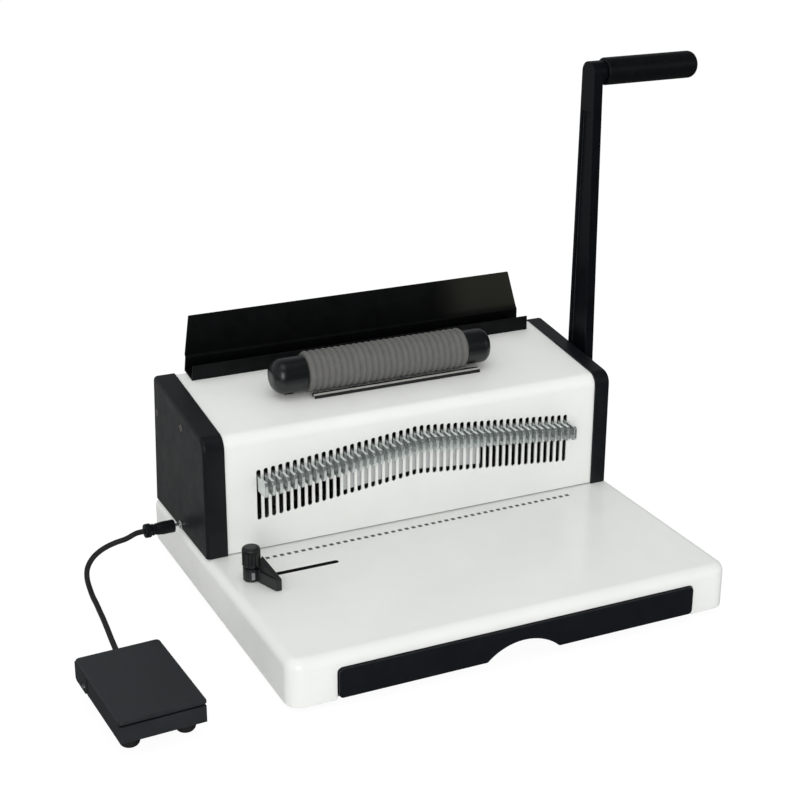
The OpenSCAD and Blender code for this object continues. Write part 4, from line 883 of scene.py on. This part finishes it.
def make_pedal_rubber():
    """Four round feet, and the ribbed sleeve where the lead leaves the pedal."""
    foot_r, foot_h, across, fore = 7.6, 8.0, 21.0, (-34.5, 37.0)
    foot = [(0, 0), (0, 3.2), *fillet(4.2, 3.4, 4.2, 180, 8), (foot_h, foot_r), (foot_h, 0)]
    feet = bmesh.new()
    for x in (-across, across):
        for y in fore:
            join(feet, spun(foot, on_pedal(x, y, 0), Z, 36))
    piece("pedal_feet_rubber", feet, black_rubber, "machine", ["pedal_feet"])
    ribs, pitch, taper, groove_deep = 5, 1.9, 0.32, 0.7
    relief = [(-14, 0), (-14, 3.25), (-12, 3.25), (-12, 4.75), (-10, 4.75)]
    for i in range(ribs):
        along, radius = -9.4 + pitch * i, 4.5 - taper * i
        groove = radius - groove_deep
        relief += [
            (along, groove), (along + 0.6, groove), (along + 0.7, radius), (along + 1.7, radius - 0.1)]
    relief += [(0, 2.7), (0, 0)]
    sleeve = spun(relief, GLAND_END, PEDAL_TURN.to_3x3() @ Y, 32)
    piece("pedal_strain_relief", sleeve, black_rubber, "machine", ["pedal_gland"])


make_pedal_rubber()


# Inner parts keep their solids and get their finishes

INNER = {
    zinc_plate: (
        "base_plate", "left_frame", "right_frame", "top_tie", "rear_tie", "motor_bracket", "drawer_rails",
        "guide_clamp"),
    ground_steel: (
        "die_block", "pin_guide", "guide_posts", "punch_shaft", "pinions", "grip_rod", "racks",
        "roller_shaft", "pedal_spring"),
    bright_plate: ("pedal_pin",),
    dark_steel: (
        "return_spring", "roller_motor", "punch_beam", "punch_pins", "roller_pulley", "motor_pulley"),
    sintered_bronze: ("shaft_bushes", "roller_bushes"),
    black_rubber: ("drive_belt",),
    board_green: ("power_board",),
    black_moulding: ("pedal_switch",),
}
for material, nodes in INNER.items():
    for node in nodes:
        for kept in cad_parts[node].material_slots:
            kept.material = material


# Floor and light

def make_floor():
    """White paper that stays white to the camera, with a trace of the shadow, and is dim in reflections.

    Its reflection is brighter behind and to the left of the machine.
    """
    half, own_white, white_share = 8.0, 1.03, 0.92
    mirrored, mirrored_bright = 0.09, 0.34
    bright_x, bright_y = (-0.16, -0.24), (-0.02, 0.06)
    bm = bmesh.new()
    bmesh.ops.create_grid(bm, x_segments=1, y_segments=1, size=half)
    mesh = bpy.data.meshes.new("floor")
    bm.to_mesh(mesh)
    bm.free()
    material = bpy.data.materials.new("floor_paper")
    material.use_nodes = True
    tree = material.node_tree
    shader = tree.nodes["Principled BSDF"]
    shader.inputs["Base Color"].default_value = rgb(0.93, 0.93, 0.93)
    shader.inputs["Roughness"].default_value = 0.9
    shader.inputs["Specular IOR Level"].default_value = 0.0
    path = add(tree, "ShaderNodeLightPath").outputs
    seen = calc(tree, "MULTIPLY", path["Is Camera Ray"], white_share)
    white = add(tree, "ShaderNodeEmission", {"Color": rgb(1, 1, 1), "Strength": own_white}).outputs[0]
    spot = add(tree, "ShaderNodeSeparateXYZ", {0: object_place(tree)}).outputs
    bright = calc(tree, "MULTIPLY", ramp(tree, spot["X"], *bright_x), ramp(tree, spot["Y"], *bright_y))
    strength = ramp(tree, bright, 0.0, 1.0, mirrored, mirrored_bright)
    dim = add(tree, "ShaderNodeEmission", {"Color": rgb(1, 1, 1), "Strength": strength}).outputs[0]
    lit = add(tree, "ShaderNodeMixShader", {0: seen, 1: shader.outputs[0], 2: white}).outputs[0]
    both = add(tree, "ShaderNodeMixShader", {0: path["Is Glossy Ray"], 1: lit, 2: dim}).outputs[0]
    tree.links.new(both, tree.nodes["Material Output"].inputs["Surface"])
    mesh.materials.append(material)
    floor = bpy.data.objects.new("floor", mesh)
    bpy.context.scene.collection.objects.link(floor)


AIM = Vector((0.0, 0.0, 0.1))


def soft_light(name, place, size, power):
    data = bpy.data.lights.new(name, "AREA")
    data.shape = "RECTANGLE"
    data.size, data.size_y = size
    data.energy = power
    light = bpy.data.objects.new(name, data)
    light.location = place
    light.rotation_euler = (AIM - Vector(place)).to_track_quat("-Z", "Y").to_euler()
    bpy.context.scene.collection.objects.link(light)


def make_world(even, left, right, back):
    """Even light from all round, dimmer where a surface mirrors it.

    The mirrored light fades from left to right, and back is added to it behind the machine.
    """
    side_turn, back_turn = (-0.9, 0.0), (0.4, 0.75)
    world = bpy.data.worlds.new("studio")
    world.use_nodes = True
    tree = world.node_tree
    all_round = tree.nodes["Background"]
    all_round.inputs["Color"].default_value = rgb(0.98, 0.99, 1.0)
    all_round.inputs["Strength"].default_value = even
    way = add(tree, "ShaderNodeTexCoord").outputs["Generated"]
    axes = add(tree, "ShaderNodeSeparateXYZ", {0: way}).outputs
    aside = ramp(tree, axes["X"], *side_turn, left, right)
    behind = ramp(tree, axes["Y"], *back_turn, 0.0, back)
    seen = calc(tree, "ADD", aside, behind)
    dim = add(tree, "ShaderNodeBackground", {"Color": rgb(0.95, 0.985, 1.0), "Strength": seen})
    glossy = add(tree, "ShaderNodeLightPath").outputs["Is Glossy Ray"]
    both = add(tree, "ShaderNodeMixShader", {0: glossy, 1: all_round.outputs[0], 2: dim.outputs[0]})
    tree.links.new(both.outputs[0], tree.nodes["World Output"].inputs["Surface"])
    bpy.context.scene.world = world


make_floor()
make_world(even=0.86, left=0.4, right=0.08, back=0.3)
soft_light("key", (-1.5, -2.4, 0.9), (0.8, 1.8), 25)
soft_light("fill", (2.0, -1.7, 0.9), (0.9, 0.9), 3)
soft_light("top", (-0.3, -0.5, 2.4), (1.2, 1.2), 5)
bpy.context.scene.view_settings.view_transform = "Standard"
